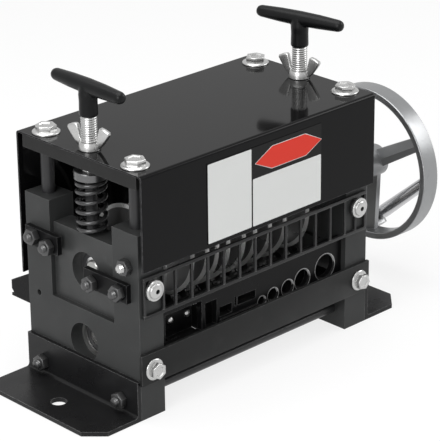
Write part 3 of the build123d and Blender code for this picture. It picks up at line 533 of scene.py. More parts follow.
HANDLE_PLASTIC = Finish(
    "handle_black_plastic", (0.0042, 0.0044, 0.0047), roughness=0.34, spread=0.05,
    specular=0.17, depth=0.03, marks=0.08, mark=0.03, dust=0.004,
)
WHEEL_RIM = Finish(
    "wheel_cast_aluminium", (0.3, 0.305, 0.31), metallic=0.85, roughness=0.38, spread=0.07,
    grain=700.0, bump=0.2, depth=0.04, marks=0.3, mark=0.17, mark_scale=90.0,
    edge=(0.6, 0.6, 0.61), edges=0.6, edge_size=0.7,
)
GRIP_METAL = Finish(
    "grip_bright_metal", (0.55, 0.55, 0.56), metallic=1.0, roughness=0.22, spread=0.05,
    bump=0.05, marks=0.12, mark=0.4,
)
LABEL_BLACK = Finish(
    "label_black_film", 0.006, roughness=0.2, spread=0.05, specular=0.15, grain=700.0,
    bump=0.03, marks=0.05, mark=0.02,
)
LABEL_PALE = Finish(
    "label_pale_film", (0.62, 0.63, 0.62), spread=0.05, specular=0.25, bump=0.04, marks=0.12,
    mark=(0.54, 0.55, 0.54), mark_scale=25.0,
)
LABEL_RED = Finish(
    "label_red_film", (0.62, 0.035, 0.02), roughness=0.38, spread=0.05, specular=0.15,
    bump=0.04, marks=0.12, mark=(0.5, 0.05, 0.035), mark_scale=25.0,
)


# --- mesh helpers ---------------------------------------------------------------------------------
def turned(profile: Profile, steps: int = 48, closed: bool = False) -> bmesh.types.BMesh:
    """A turned form about +Z.

    Args:
        profile: Radius and height pairs, in millimetres.
        steps: Divisions round the axis.
        closed: True where the profile's last point joins its first.

    Returns:
        The mesh, in metres.
    """
    bm = bmesh.new()
    verts = [bm.verts.new((r * MM, 0.0, z * MM)) for r, z in profile]
    pairs = list(zip(verts, verts[1:])) + ([(verts[-1], verts[0])] if closed else [])
    edges = [bm.edges.new(pair) for pair in pairs]
    bmesh.ops.spin(
        bm, geom=verts + edges, cent=(0, 0, 0), axis=(0, 0, 1), dvec=(0, 0, 0),
        angle=math.tau, steps=steps, use_merge=True, use_duplicate=False,
    )
    bmesh.ops.remove_doubles(bm, verts=bm.verts, dist=1e-6)
    bmesh.ops.recalc_face_normals(bm, faces=bm.faces)
    return bm


def rolled_edges(bm: bmesh.types.BMesh, edges: Sequence[bmesh.types.BMEdge], size: float,
                 segments: int = 2) -> None:
    """Rounds some edges.

    Args:
        bm: The mesh.
        edges: The edges to round.
        size: Width of the round, in millimetres.
        segments: Faces across it.
    """
    bmesh.ops.bevel(
        bm, geom=list(edges), offset=size * MM, segments=segments, profile=0.5,
        affect="EDGES", material=-1, clamp_overlap=True,
    )


def six_sided(flats: float, low: float, high: float, dish: float = 0.0,
              edge: float = 0.5) -> bmesh.types.BMesh:
    """A hexagon bar with rounded ends, such as a nut or a bolt's head.

    Args:
        flats: Distance across the flats, in millimetres.
        low: Height of its underside.
        high: Height of its top.
        dish: Depth of a dish in the top.
        edge: Size of the rounded end edges.

    Returns:
        The mesh, in metres.
    """
    bm = bmesh.new()
    bmesh.ops.create_cone(
        bm, cap_ends=True, segments=6, radius1=flats / math.sqrt(3) * MM,
        radius2=flats / math.sqrt(3) * MM, depth=(high - low) * MM,
        matrix=Matrix.Translation((0, 0, (high + low) / 2 * MM)),
    )
    ends = [e for e in bm.edges if abs(e.verts[0].co.z - e.verts[1].co.z) < 1e-7]
    rolled_edges(bm, ends, edge)
    if dish:
        top = max(bm.faces, key=lambda f: f.calc_center_median().z)
        bmesh.ops.inset_region(bm, faces=[top], thickness=flats * 0.14 * MM, depth=0.0)
        bmesh.ops.inset_region(bm, faces=[top], thickness=flats * 0.05 * MM, depth=-dish * MM)
    return bm


def rounded_box(low: Point, high: Point, edge: float = 0.4) -> bmesh.types.BMesh:
    """A block with rounded edges.

    Args:
        low: Its lowest corner, in millimetres.
        high: Its highest corner.
        edge: Width of the round.

    Returns:
        The mesh, in metres.
    """
    bm = bmesh.new()
    middle = (Vector(low) + Vector(high)) / 2 * MM
    size = Matrix.Diagonal((*(Vector(high) - Vector(low)) * MM, 1.0))
    bmesh.ops.create_cube(bm, size=1.0, matrix=Matrix.Translation(middle) @ size)
    rolled_edges(bm, list(bm.edges), edge)
    return bm


def slab(corners: Iterable[Point], shift: Point) -> bmesh.types.BMesh:
    """A plate between a flat outline and the same outline moved.

    Args:
        corners: The outline, in millimetres.
        shift: How far and where its copy lies.

    Returns:
        The mesh, in metres.
    """
    bm = bmesh.new()
    face = bm.faces.new([bm.verts.new(Vector(corner) * MM) for corner in corners])
    grown = bmesh.ops.extrude_face_region(bm, geom=[face])["geom"]
    bmesh.ops.translate(bm, vec=Vector(shift) * MM,
                        verts=[v for v in grown if isinstance(v, bmesh.types.BMVert)])
    bmesh.ops.recalc_face_normals(bm, faces=bm.faces)
    return bm


def shank(radius: float, length: float, chamfer: float = 0.6) -> bmesh.types.BMesh:
    """A plain bolt shank that hangs from the origin along -Z.

    Args:
        radius: Its radius, in millimetres.
        length: Its length.
        chamfer: Size of the chamfer at its end.

    Returns:
        The mesh, in metres.
    """
    return turned([(0, -length), (radius - chamfer, -length), (radius, chamfer - length),
                   (radius, 0.1), (0, 0.1)], 24)


def spun(bm: bmesh.types.BMesh, degrees: float) -> bmesh.types.BMesh:
    """Turns a mesh about +Z.

    Args:
        bm: The mesh.
        degrees: The angle.

    Returns:
        The same mesh.
    """
    bmesh.ops.rotate(bm, cent=(0, 0, 0), verts=bm.verts,
                     matrix=Matrix.Rotation(math.radians(degrees), 3, "Z"))
    return bm


def helix(profile: Profile, pitch: float, turns: float, steps: int = 32) -> bmesh.types.BMesh:
    """A thread's ridge wound about +Z and closed at both ends.

    Args:
        profile: Radius and height pairs over one pitch, in millimetres.
        pitch: Rise of one turn.
        turns: Number of turns.
        steps: Divisions of one turn.

    Returns:
        The mesh, in metres.
    """
    bm = bmesh.new()
    verts = [bm.verts.new((r * MM, 0.0, z * MM)) for r, z in profile]
    edges = [bm.edges.new(pair) for pair in zip(verts, verts[1:])]
    count = round(turns * steps)
    bmesh.ops.spin(
        bm, geom=verts + edges, cent=(0, 0, 0), axis=(0, 0, 1),
        dvec=(0, 0, pitch * MM / steps), angle=math.tau * count / steps, steps=count,
        use_merge=False, use_duplicate=False,
    )
    bmesh.ops.remove_doubles(bm, verts=bm.verts, dist=2e-6)
    bmesh.ops.holes_fill(bm, edges=[e for e in bm.edges if e.is_boundary], sides=0)
    bmesh.ops.recalc_face_normals(bm, faces=bm.faces)
    return bm


def placed(bm: bmesh.types.BMesh, spot: Point, way: Point = (0, 0, 1)) -> bmesh.types.BMesh:
    """Moves a form made about +Z to a spot, with its axis along a direction.

    Args:
        bm: The mesh.
        spot: The new place of its origin, in millimetres.
        way: The new direction of its axis.

    Returns:
        The same mesh.
    """
    turn = Vector((0, 0, 1)).rotation_difference(Vector(way)).to_matrix().to_4x4()
    bmesh.ops.transform(
        bm, matrix=Matrix.Translation(Vector(spot) * MM) @ turn, verts=bm.verts
    )
    return bm


def joined(parts: Iterable[bmesh.types.BMesh]) -> bmesh.types.BMesh:
    """Puts several meshes into one and frees them.

    Args:
        parts: The meshes.

    Returns:
        One mesh with all of them.
    """
    whole = bmesh.new()
    for part in parts:
        scratch = bpy.data.meshes.new("scratch")
        part.to_mesh(scratch)
        part.free()
        whole.from_mesh(scratch)
        bpy.data.meshes.remove(scratch)
    return whole


@dataclass
class Piece:
    """One finished piece of the scene and how it belongs to the frame."""

    name: str
    body: str
    slot: Slot
    finish: Finish
    replaces: tuple[str, ...] = ()
    smooth_angle: float = 32.0

    def make(self, bm: bmesh.types.BMesh, more: Sequence[Finish] = ()) -> bpy.types.Object:
        """Turns a mesh into an object that rides on its body.

        Args:
            bm: The mesh, which is freed.
            more: Further finishes, for faces with a higher material index.

        Returns:
            The object.
        """
        mesh = bpy.data.meshes.new(self.name)
        bm.to_mesh(mesh)
        bm.free()
        return self.make_from(mesh, more)

    def make_from(self, mesh: bpy.types.Mesh, more: Sequence[Finish] = ()) -> bpy.types.Object:
        """Turns mesh data into an object that rides on its body.

        Args:
            mesh: The mesh data.
            more: Further finishes, for faces with a higher material index.

        Returns:
            The object.
        """
        mesh.name = self.name
        for finish in (self.finish, *more):
            mesh.materials.append(finish.material())
        mesh.shade_smooth()
        mesh.set_sharp_from_angle(angle=math.radians(self.smooth_angle))
        made = bpy.data.objects.new(self.name, mesh)
        bpy.context.scene.collection.objects.link(made)
        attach(made, self.body)
        if self.replaces:
            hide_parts(*self.replaces)
        LOG.info("%s: %d faces on %s", self.name, len(mesh.polygons), self.body)
        return made


# --- sub-assemblies -------------------------------------------------------------------------------
@dataclass
class PressureUnit:
    """Pressure screw, T handle, wing nut and spring at one end of the machine."""

    side: Side
    turn: float
    screw_radius: float = 7.0
    thread_depth: float = 0.5
    pitch: float = 2.0
    screw_low: float = 203.0
    stem_low: float = 253.0
    stem_radius: float = 8.1
    bar_z: float = 278.8
    bar_half: float = 45.5
    bar_radius: float = 6.8
    tip_radius: float = 5.4
    voxel: float = 0.7
    wing_turn: float = 13.0
    wing_thick: float = 4.4
    wing_outline: tuple[tuple[float, float], ...] = (
        (6.9, 1.2), (10.3, 1.4), (13.8, 5.0), (18.2, 10.8), (21.3, 15.9), (20.9, 17.9),
        (16.5, 19.9), (12.6, 20.9), (10.9, 19.9), (9.4, 14.0), (8.2, 9.0), (6.9, 8.0))
    seat_radius: float = 14.5
    seat_high: float = 7.2
    pin_radius: float = 5.0
    pin_low: float = 151.7
    wire_radius: float = 1.95
    coil_radius: float = 12.1
    end_pitch: float = 4.6
    coil_pitch: float = 8.95
    coil_turns: int = 4
    coil_steps: int = 44
    spring_low: float = 149.2
    cap_travel: float = 8.0
    shaft_lift: float = 4.0

    @property
    def x(self) -> float:
        """Place of the unit along the machine."""
        return self.side.value * SCREW_X

    def named(self, stem: str) -> str:
        """A name with the unit's side.

        Args:
            stem: The name without it.

        Returns:
            The whole name.
        """
        return f"{stem}_{self.side.word}"

    def build(self) -> None:
        """Builds every piece of the unit."""
        self.screw()
        self.handle()
        self.wing_nut()
        self.seat()
        self.spring()

    def screw(self) -> None:
        """The threaded rod."""
        root, crest, p = self.screw_radius - self.thread_depth, self.screw_radius, self.pitch
        length = self.stem_low + 3.0 - self.screw_low
        ridge = helix([(root, 0.0), (crest, p * 0.42), (crest, p * 0.58), (root, p)], p,
                      length / p - 1)
        core = turned([(0, 0), (root, 0), (root, length), (0, length)], 32)
        bm = placed(joined([ridge, core]), (self.x, 0, self.screw_low))
        Piece(self.named("screw_thread"), self.named("screw"), Slot.ZINC, ZINC,
              (self.named("pressure_screw"),), 50).make(bm)

    def handle(self) -> None:
        """The moulded T handle, with its stem blended into the bar."""
        half, r, tip = self.bar_half, self.bar_radius, self.tip_radius
        end = [(0, 0), (tip * 0.45, 0.35), (tip * 0.8, 1.6), (tip, 4.4)]
        profile = [(q, -half + z) for q, z in end] + [(r * 0.95, -half * 0.45), (r, 0.0),
                                                      (r * 0.95, half * 0.45)]
        profile += [(q, half - z) for q, z in reversed(end)]
        bar = placed(turned(profile, 40), (0, 0, self.bar_z - self.stem_low), (0, 1, 0))
        high = self.bar_z - self.stem_low
        stem = turned([(0, 0.0), (self.stem_radius - 0.7, 0.0), (self.stem_radius, 0.8),
                       (self.stem_radius - 0.25, high * 0.5), (self.stem_radius + 0.1, high * 0.72),
                       (self.stem_radius - 0.9, high), (0, high)], 40)
        solid = self._blended(joined([bar, stem]))
        angle = math.radians(self.turn)
        solid.transform(Matrix.Translation(Vector((self.x, 0, self.stem_low)) * MM)
                        @ Matrix.Rotation(angle, 4, "Z"))
        Piece(self.named("tee_handle"), self.named("screw"), Slot.HANDLE,
              HANDLE_PLASTIC, (self.named("t_handle"),), 60).make_from(solid)

    def _blended(self, bm: bmesh.types.BMesh) -> bpy.types.Mesh:
        """Melts overlapping forms into one and softens where they meet.

        Args:
            bm: The overlapping forms.

        Returns:
            Mesh data of the blended form.
        """
        scratch = bpy.data.meshes.new("scratch")
        bm.to_mesh(scratch)
        bm.free()
        holder = bpy.data.objects.new("scratch", scratch)
        bpy.context.scene.collection.objects.link(holder)
        melt = holder.modifiers.new("melt", "REMESH")
        melt.mode, melt.voxel_size, melt.use_smooth_shade = "VOXEL", self.voxel * MM, True
        soften = holder.modifiers.new("soften", "SMOOTH")
        soften.factor, soften.iterations = 0.5, 9
        seen = holder.evaluated_get(bpy.context.evaluated_depsgraph_get())
        made = bpy.data.meshes.new_from_object(seen)
        bpy.data.objects.remove(holder)
        bpy.data.meshes.remove(scratch)
        return made

    def wing_nut(self) -> None:
        """The wing nut on the cover."""
        hub = turned([(7.05, 0), (9.2, 0), (9.7, 0.6), (9.5, 2.6), (8.9, 6.4), (8.5, 7.0),
                      (7.05, 7.2)], 40, closed=True)
        wings = [hub]
        for way in (-1, 1):
            bm = slab([(-self.wing_thick / 2, way * y, z) for y, z in self.wing_outline],
                      (self.wing_thick, 0, 0))
            rims = [e for e in bm.edges if abs(e.verts[0].co.x - e.verts[1].co.x) < 1e-7]
            rolled_edges(bm, rims, 1.3, 4)
            wings.append(spun(bm, self.wing_turn))
        bm = placed(joined(wings), (self.x, 0, COVER_TOP_Z))
        Piece(self.named("lock_nut"), self.named("lock"), Slot.ZINC, ZINC,
              (self.named("wing_nut"),), 40).make(bm)

    def seat(self) -> None:
        """The disc on top of the spring, with the pin that guides the spring."""
        r, high, pin = self.seat_radius, self.seat_high, self.pin_radius
        low = self.spring_low + self.spring_high
        drop = self.pin_low - low
        bm = turned([(0, drop), (pin - 0.8, drop), (pin, drop + 0.8), (pin, 0), (r - 0.5, 0),
                     (r, 0.5), (r, high - 0.7), (r - 0.7, high), (r - 3.2, high),
                     (r - 3.6, high - 0.6), (0, high - 0.6)], 64)
        for face in bm.faces:
            face.material_index = int(face.calc_center_median().z < -0.1 * MM)
        placed(bm, (self.x, 0, low))
        Piece(self.named("spring_seat"), self.named("cap"), Slot.BLACK_STEEL,
              SEAT_STEEL, (self.named("spring_cap"),)).make(bm, (ROD_STEEL,))

    @property
    def spring_high(self) -> float:
        """Height of the spring at rest."""
        return 2 * self.end_pitch + self.coil_turns * self.coil_pitch + 2 * self.wire_radius

    def spring(self) -> None:
        """The pressure spring in two rigid parts: its lower coils ride on the carriage, its top
        ones on the cap.
        """
        split = self.end_pitch + (self.coil_turns - 1) * self.coil_pitch + self.wire_radius
        low, high = self.spring_low, self.spring_low + self.spring_high
        lower = self._coils(((1, self.end_pitch), (self.coil_turns - 1, self.coil_pitch)))
        made = Piece(self.named("spring_lower_coils"), "carriage", Slot.SPRING, SPRING_STEEL,
                     (self.named("spring"),), 50).make(
                         placed(lower, (self.x, 0, low + self.wire_radius)))
        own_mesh(made)
        upper = self._coils(((1, self.coil_pitch), (1, self.end_pitch)))
        made = Piece(self.named("spring_upper_coils"), self.named("cap"), Slot.SPRING,
                     SPRING_STEEL, (self.named("spring"),), 50).make(
                         placed(upper, (self.x, 0, low + split)))
        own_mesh(made)

    def _coils(self, stretches: Sequence[tuple[int, float]]) -> bmesh.types.BMesh:
        """Coils of wire wound about +Z from the origin.

        Args:
            stretches: Number of turns and their pitch, one after another.

        Returns:
            The mesh, in metres.
        """
        bm = bmesh.new()
        tilt = Matrix.Rotation(math.radians(90), 4, "X")
        start = Vector((self.coil_radius, 0, 0)) * MM
        ring = bmesh.ops.create_circle(bm, segments=16, radius=self.wire_radius * MM,
                                       matrix=Matrix.Translation(start) @ tilt)["verts"]
        geom = list(ring) + list(bm.edges)
        steps = self.coil_steps
        for turns, pitch in stretches:
            done = bmesh.ops.spin(
                bm, geom=geom, cent=(0, 0, 0), axis=(0, 0, 1), dvec=(0, 0, pitch * MM / steps),
                angle=math.tau * turns, steps=turns * steps, use_merge=False, use_duplicate=False,
            )
            geom = done["geom_last"]
        bmesh.ops.holes_fill(bm, edges=[e for e in bm.edges if e.is_boundary], sides=0)
        bmesh.ops.recalc_face_normals(bm, faces=bm.faces)
        return bm


@dataclass(frozen=True)
class BoltSize:
    """Sizes of a flange bolt: flange and shank by radius, head by its width across flats."""

    flange: float
    flats: float
    head_high: float
    shank: float
    length: float


@dataclass
class CoverBolts:
    """Flange bolts of the cover, the front beam and the rear outlet."""

    top_spots: tuple[Point, ...] = tuple(
        (s * SCREW_X, y, COVER_TOP_Z) for s in (-1, 1) for y in (-56.0, 56.0)
    )
    front_spots: tuple[Point, ...] = ((-126.6, -75.0, 46.0), (126.6, -75.0, 46.0))
    rear_spots: tuple[Point, ...] = ((-126.6, 74.0, 77.0), (126.6, 74.0, 77.0))
    large: BoltSize = BoltSize(12.2, 16.0, 4.6, 5.0, 78.0)
    small: BoltSize = BoltSize(9.7, 13.0, 5.4, 4.0, 15.0)
    first_turn: float = 30.0
    large_turn: float = 13.0
    small_turn: float = 18.0

    def build(self) -> None:
        """Builds the large and the small bolts."""
        large = [placed(self._bolt(self.large, self.first_turn + self.large_turn * n), spot)
                 for n, spot in enumerate(self.top_spots)]
        Piece("cover_bolt_heads", "frame", Slot.ZINC, ZINC, ("top_bolts",), 40).make(joined(large))
        small = [placed(self._bolt(self.small, self.small_turn * n), spot, way)
                 for spots, way in ((self.front_spots, (0, -1, 0)), (self.rear_spots, (0, 1, 0)))
                 for n, spot in enumerate(spots)]
        Piece("beam_bolt_heads", "frame", Slot.ZINC, ZINC, ("beam_bolts",), 40).make(joined(small))

    @staticmethod
    def _bolt(size: BoltSize, turn: float) -> bmesh.types.BMesh:
        """One flange bolt about +Z, its seat at the origin.

        Args:
            size: Its sizes, in millimetres.
            turn: How far the head is turned, in degrees.

        Returns:
            The mesh, in metres.
        """
        flange = size.flange
        thick = flange * 0.2
        dish = turned([(0, 0), (flange - 0.3, 0), (flange, 0.35), (flange, thick * 0.42),
                       (flange * 0.97, thick * 0.6), (flange * 0.8, thick), (0, thick)], 56)
        head = six_sided(size.flats, thick * 0.6, thick + size.head_high, dish=0.9, edge=0.7)
        return joined([dish, spun(head, turn), shank(size.shank, size.length)])


@dataclass
class FrontGuards:
    """The barred finger guard and the bar under the feed channels."""

    guard_x: tuple[float, float] = (-136.0, 136.0)
    guard_y: tuple[float, float] = (-74.5, -71.5)
    guard_z: tuple[float, float] = (93.6, 131.3)
    bar_inset: float = 0.3
    bar_sink: float = 1.0
    rail: float = 3.0
    bar: float = 2.3
    first_bar: float = -99.2
    bar_pitch: float = 18.85
    bars: int = 12
    side_bars: tuple[float, ...] = (-113.2, -134.6, 122.0, 134.6)
    boss_x: float = 124.8
    boss_z: float = 118.0
    boss_radius: float = 9.2
    strap: float = 8.0
    beam_x: tuple[float, float] = (-140.5, 140.5)
    beam_y: tuple[float, float] = (-75.0, -71.5)
    beam_z: tuple[float, float] = (33.0, 61.5)

    def build(self) -> None:
        """Builds the guard and the bar."""
        (x0, x1), (y0, y1), (z0, z1) = self.guard_x, self.guard_y, self.guard_z
        front, back = y0 + self.bar_inset, y1 - self.bar_inset
        parts = [rounded_box((x0, y0, z0), (x1, y1, z0 + self.rail), 0.5),
                 rounded_box((x0, y0, z1 - self.rail), (x1, y1, z1), 0.5)]
        spots = [self.first_bar + self.bar_pitch * n for n in range(self.bars)]
        for x in (*spots, *self.side_bars):
            parts.append(rounded_box((x - self.bar / 2, front, z0 + self.bar_sink),
                                     (x + self.bar / 2, back, z1 - self.bar_sink), 0.4))
        for side in Side:
            thick = y1 - y0 - 0.4
            boss = turned([(0, 0), (self.boss_radius - 0.3, 0), (self.boss_radius, 0.3),
                           (self.boss_radius, thick), (0, thick)], 48)
            x = side.value * self.boss_x
            parts.append(placed(boss, (x, y1 - 0.2, self.boss_z), (0, -1, 0)))
            parts.append(rounded_box((x - self.strap / 2, front, self.boss_z),
                                     (x + self.strap / 2, back, z1 - self.bar_sink), 0.4))
        Piece("finger_guard", "frame", Slot.BLACK_PAINT, GUARD_PAINT, ("guard",)).make(
            joined(parts))
        (x0, x1), (y0, y1), (z0, z1) = self.beam_x, self.beam_y, self.beam_z
        beam = rounded_box((x0, y0, z0), (x1, y1, z1), 0.7)
        Piece("front_bar", "frame", Slot.BLACK_PAINT, BEAM_PAINT, ("front_beam",)).make(beam)


@dataclass
class GuardBolts:
    """Button bolts with washers that hold the guard."""

    spots: tuple[Point, ...] = ((-124.8, -74.5, 118.0), (124.8, -74.5, 118.0))
    washer_radius: float = 9.4
    head_radius: float = 6.9
    socket_radius: float = 2.1
    grip: float = 15.0

    def build(self) -> None:
        """Builds both bolts as one piece."""
        parts = []
        for spot in self.spots:
            w, h, s = self.washer_radius, self.head_radius, self.socket_radius
            washer = turned([(0, 0), (w - 0.3, 0), (w, 0.4), (w, 2.0), (w - 0.5, 2.7),
                             (h + 1.0, 2.9), (h + 0.3, 2.6), (0, 2.6)], 56)
            head = turned([(0, 2.5), (h, 2.5), (h, 3.4), (h * 0.93, 4.1), (h * 0.75, 4.6),
                           (h * 0.5, 4.9), (s, 5.0)], 48)
            socket = six_sided(s * 2.0, 3.5, 3.8, edge=0.05)
            wall = turned([(s, 5.0), (s * 0.96, 3.8), (0, 3.8)], 6)
            stem = shank(4.0, self.grip, 0.4)
            parts.append(placed(joined([washer, head, socket, wall, stem]), spot, (0, -1, 0)))
        bm = joined(parts)
        bmesh.ops.recalc_face_normals(bm, faces=bm.faces)
        Piece("guard_bolt_heads", "frame", Slot.ZINC, ZINC, ("guard_bolts",), 35).make(bm)


@dataclass
class ClipFasteners:
    """Studs and nuts of the clips, of the front posts and of the feet."""

    radius: float = 4.0
    pitch: float = 1.25
    flats: float = 13.0
    nut_high: float = 6.5
    nut_turn: float = 17.0
    threaded: float = 9.0
    thread_depth: float = 0.55
    inner_x: float = 131.0
    tail: float = 15.5
    clip_thick: float = 5.0
    foot_sheet: float = 4.0
    clip_spots: tuple[tuple[float, float], ...] = ((55.0, 134.0), (36.0, 129.5), (-19.0, 113.0),
                                                   (-53.0, 115.5))
    clip_starts: tuple[float, ...] = (131.0, 134.6, 134.6, 131.0)
    post_spot: tuple[float, float] = (-58.0, 139.0)
    foot_spots: tuple[tuple[float, float], ...] = ((-51.0, 15.0), (51.0, 15.0))

    def build(self) -> None:
        """Builds all studs as one piece and all nuts as another."""
        studs, nuts = [], []
        bright = len(self.clip_spots)
        places = [(*spot, start, self.clip_thick)
                  for spot, start in zip(self.clip_spots, self.clip_starts)]
        places.append((*self.post_spot, self.inner_x, 0.0))
        places += [(*spot, self.inner_x, self.foot_sheet) for spot in self.foot_spots]
        for side in Side:
            way = (side.value, 0, 0)
            for n, (y, z, start, under) in enumerate(places):
                end = FRAME_FACE_X + self.tail + under - self.clip_thick
                stud = self._stud(end - start)
                for face in stud.faces:
                    face.material_index = int(n == bright)
                studs.append(placed(stud, (side.value * start, y, z), way))
                nut = spun(six_sided(self.flats, 0.0, self.nut_high, edge=0.55), self.nut_turn * n)
                nuts.append(placed(nut, (side.value * (FRAME_FACE_X + under), y, z), way))
        Piece("stud_threads", "frame", Slot.ZINC, DARK_ZINC, ("studs",), 45).make(
            joined(studs), (ZINC,))
        Piece("stud_nuts", "frame", Slot.ZINC, DARK_ZINC, ("nuts",), 40).make(joined(nuts))

    def _stud(self, length: float) -> bmesh.types.BMesh:
        """One stud about +Z, threaded at its far end.

        Args:
            length: Its length, in millimetres.

        Returns:
            The mesh, in metres.
        """
        root, threaded = self.radius - self.thread_depth, self.threaded
        ridge = placed(helix([(root, 0.0), (self.radius, 0.5), (self.radius, 0.75),
                              (root, self.pitch)], self.pitch, threaded / self.pitch - 1.2, 20),
                       (0, 0, length - threaded))
        core = turned([(0, 0), (root, 0), (root, length - 0.6), (root - 0.7, length),
                       (0, length)], 20)
        low = length - threaded
        plain = turned([(0, 0), (self.radius, 0), (self.radius, low), (root, low + 0.3),
                        (0, low + 0.3)], 20)
        return joined([ridge, core, plain])


@dataclass
class BallBearings:
    """The four shielded ball bearings."""

    bore: float = 7.53
    outer: float = 17.5
    wide: float = 11.0
    upper_x: float = 114.5
    lower_x: float = 112.0

    def build(self) -> None:
        """Builds the upper pair on the carriage and the lower pair on the frame."""
        for side in Side:
            for word, body, inner_x, z in (
                    ("upper", "carriage", self.upper_x, UPPER_Z),
                    ("lower", "frame", self.lower_x, LOWER_Z)):
                bm = placed(self._ring(), (side.value * inner_x, 0, z), (side.value, 0, 0))
                name = f"{word}_bearing_{side.word}"
                Piece(f"{name}_rings", body, Slot.BEARING, BEARING_STEEL, (name,), 30).make(
                    bm, (SHIELD_STEEL,))

    def _ring(self) -> bmesh.types.BMesh:
        """One bearing about +Z, with its shields as faces of a second material.

        Returns:
            The mesh, in metres.
        """
        b, o, w = self.bore, self.outer, self.wide
        half = [(b, 0.5), (b + 0.4, 0.1), (10.0, 0.1), (10.2, 0.9), (14.5, 0.7), (14.7, 0.1),
                (o - 0.5, 0.1), (o, 0.6)]
        profile = half + [(r, w - z) for r, z in reversed(half)]
        bm = turned(profile, 56, closed=True)
        for face in bm.faces:
            reach = Vector(face.calc_center_median()[:2]).length / MM
            face.material_index = int(10.1 < reach < 14.6)
        return bm


@dataclass
class NoticePlate:
    """The bare notice plate: two pale panels and a red field on a black ground."""

    face_y: float = COVER_FRONT_Y - 0.6
    proud: float = 0.12
    left_panel: tuple[float, float, float, float] = (-66.0, -15.0, 142.6, 213.9)
    right_panel: tuple[float, float, float, float] = (-13.2, 70.4, 142.6, 185.9)
    field: tuple[tuple[float, float], ...] = (
        (-9.6, 199.3), (10.0, 190.6), (51.0, 190.6), (70.0, 199.8), (50.0, 209.4), (10.5, 209.4))

    def build(self) -> None:
        """Builds the panels, the field and its pale line."""
        for name, (x0, x1, z0, z1) in (("notice_panel_left", self.left_panel),
                                       ("notice_panel_right", self.right_panel)):
            corners = [(x0, z0), (x1, z0), (x1, z1), (x0, z1)]
            self._sheet(name, corners, self.proud, LABEL_PALE)
        middle = (sum(x for x, _ in self.field) / 6, sum(z for _, z in self.field) / 6)
        self._sheet("notice_field_line", self._grown(middle, 1.035, 1.1), self.proud, LABEL_PALE)
        self._sheet("notice_field_gap", self._grown(middle, 1.018, 1.05), self.proud + 0.06,
                    LABEL_RED)

    def _grown(self, middle: tuple[float, float], along: float,
               up: float) -> list[tuple[float, float]]:
        """The field's corners, moved out from its middle.

        Args:
            middle: The field's middle.
            along: Growth along the plate.
            up: Growth in height.

        Returns:
            The corners, in millimetres.
        """
        return [(middle[0] + (x - middle[0]) * along, middle[1] + (z - middle[1]) * up)
                for x, z in self.field]

    def _sheet(self, name: str, corners: Sequence[tuple[float, float]], proud: float,
               finish: Finish) -> None:
        """One thin sheet on the plate.

        Args:
            name: The piece's name.
            corners: Its corners along X and Z, in millimetres.
            proud: How far it stands out from the plate.
            finish: Its finish.
        """
        bm = slab([(x, self.face_y, z) for x, z in corners], (0, -proud, 0))
        upright = [e for e in bm.edges if abs(e.verts[0].co.y - e.verts[1].co.y) > 1e-6]
        rolled_edges(bm, upright, 0.8, 3)
        Piece(name, "frame", Slot.LABEL, finish).make(bm)


@dataclass
class ChannelRims:
    """Bright edges of the feed plate's round channels: worn bare steel, made paler as a painted
    highlight.
    """

    face_y: float = -66.0
    floor_z: float = 56.0
    rounds: tuple[tuple[float, float], ...] = ((10.4, 4.2), (24.4, 5.9), (42.9, 6.8), (61.6, 8.9),
                                               (90.8, 11.7))

    def build(self) -> None:
        """Builds every rim as one piece."""
        parts = [placed(turned([(r - 0.05, -1.4), (r + 1.0, 0.05), (r + 1.35, 0.05),
                                (r + 1.35, -0.4), (r + 0.3, -1.4)], 56, closed=True),
                        (x, self.face_y, self.floor_z + r), (0, -1, 0)) for x, r in self.rounds]
        Piece("channel_rims", "frame", Slot.BLACK_PAINT, RIM_STEEL_AND_HIGHLIGHT).make(joined(parts))


@dataclass
class InnerTrim:
    """The shelf behind the feed plate and the rings that keep the lower bearings in."""

    shelf_x: tuple[float, float] = (-60.5, 108.0)
    shelf_y: tuple[float, float] = (-60.0, -21.6)
    shelf_z: tuple[float, float] = (54.6, 56.1)
    lip_high: float = 6.0
    bore_radius: float = 17.5
    bore_wall: float = 2.4
    lower_bore: tuple[float, float] = (123.1, 126.0)

    def build(self) -> None:
        """Builds the shelf and the rings."""
        (x0, x1), (y0, y1), (z0, z1) = self.shelf_x, self.shelf_y, self.shelf_z
        outline = [(y0, z0 - self.lip_high), (y0 + 1.5, z0 - self.lip_high), (y0 + 1.5, z0),
                   (y1, z0), (y1, z1), (y0, z1)]
        bm = slab([(x0, y, z) for y, z in outline], (x1 - x0, 0, 0))
        rolled_edges(bm, list(bm.edges), 0.3)
        Piece("guide_shelf", "frame", Slot.BLACK_PAINT, BLACK_PAINT).make(bm)
        low, high = self.lower_bore
        walls = []
        for side in Side:
            r, w = self.bore_radius, self.bore_wall
            ring = turned([(r - w, 0), (r, 0), (r, high - low), (r - w, high - low)], 64,
                          closed=True)
            walls.append(placed(ring, (side.value * low, 0, LOWER_Z), (side.value, 0, 0)))
        Piece("bearing_keeper_rings", "frame", Slot.BRIGHT, BORE_STEEL).make(joined(walls))


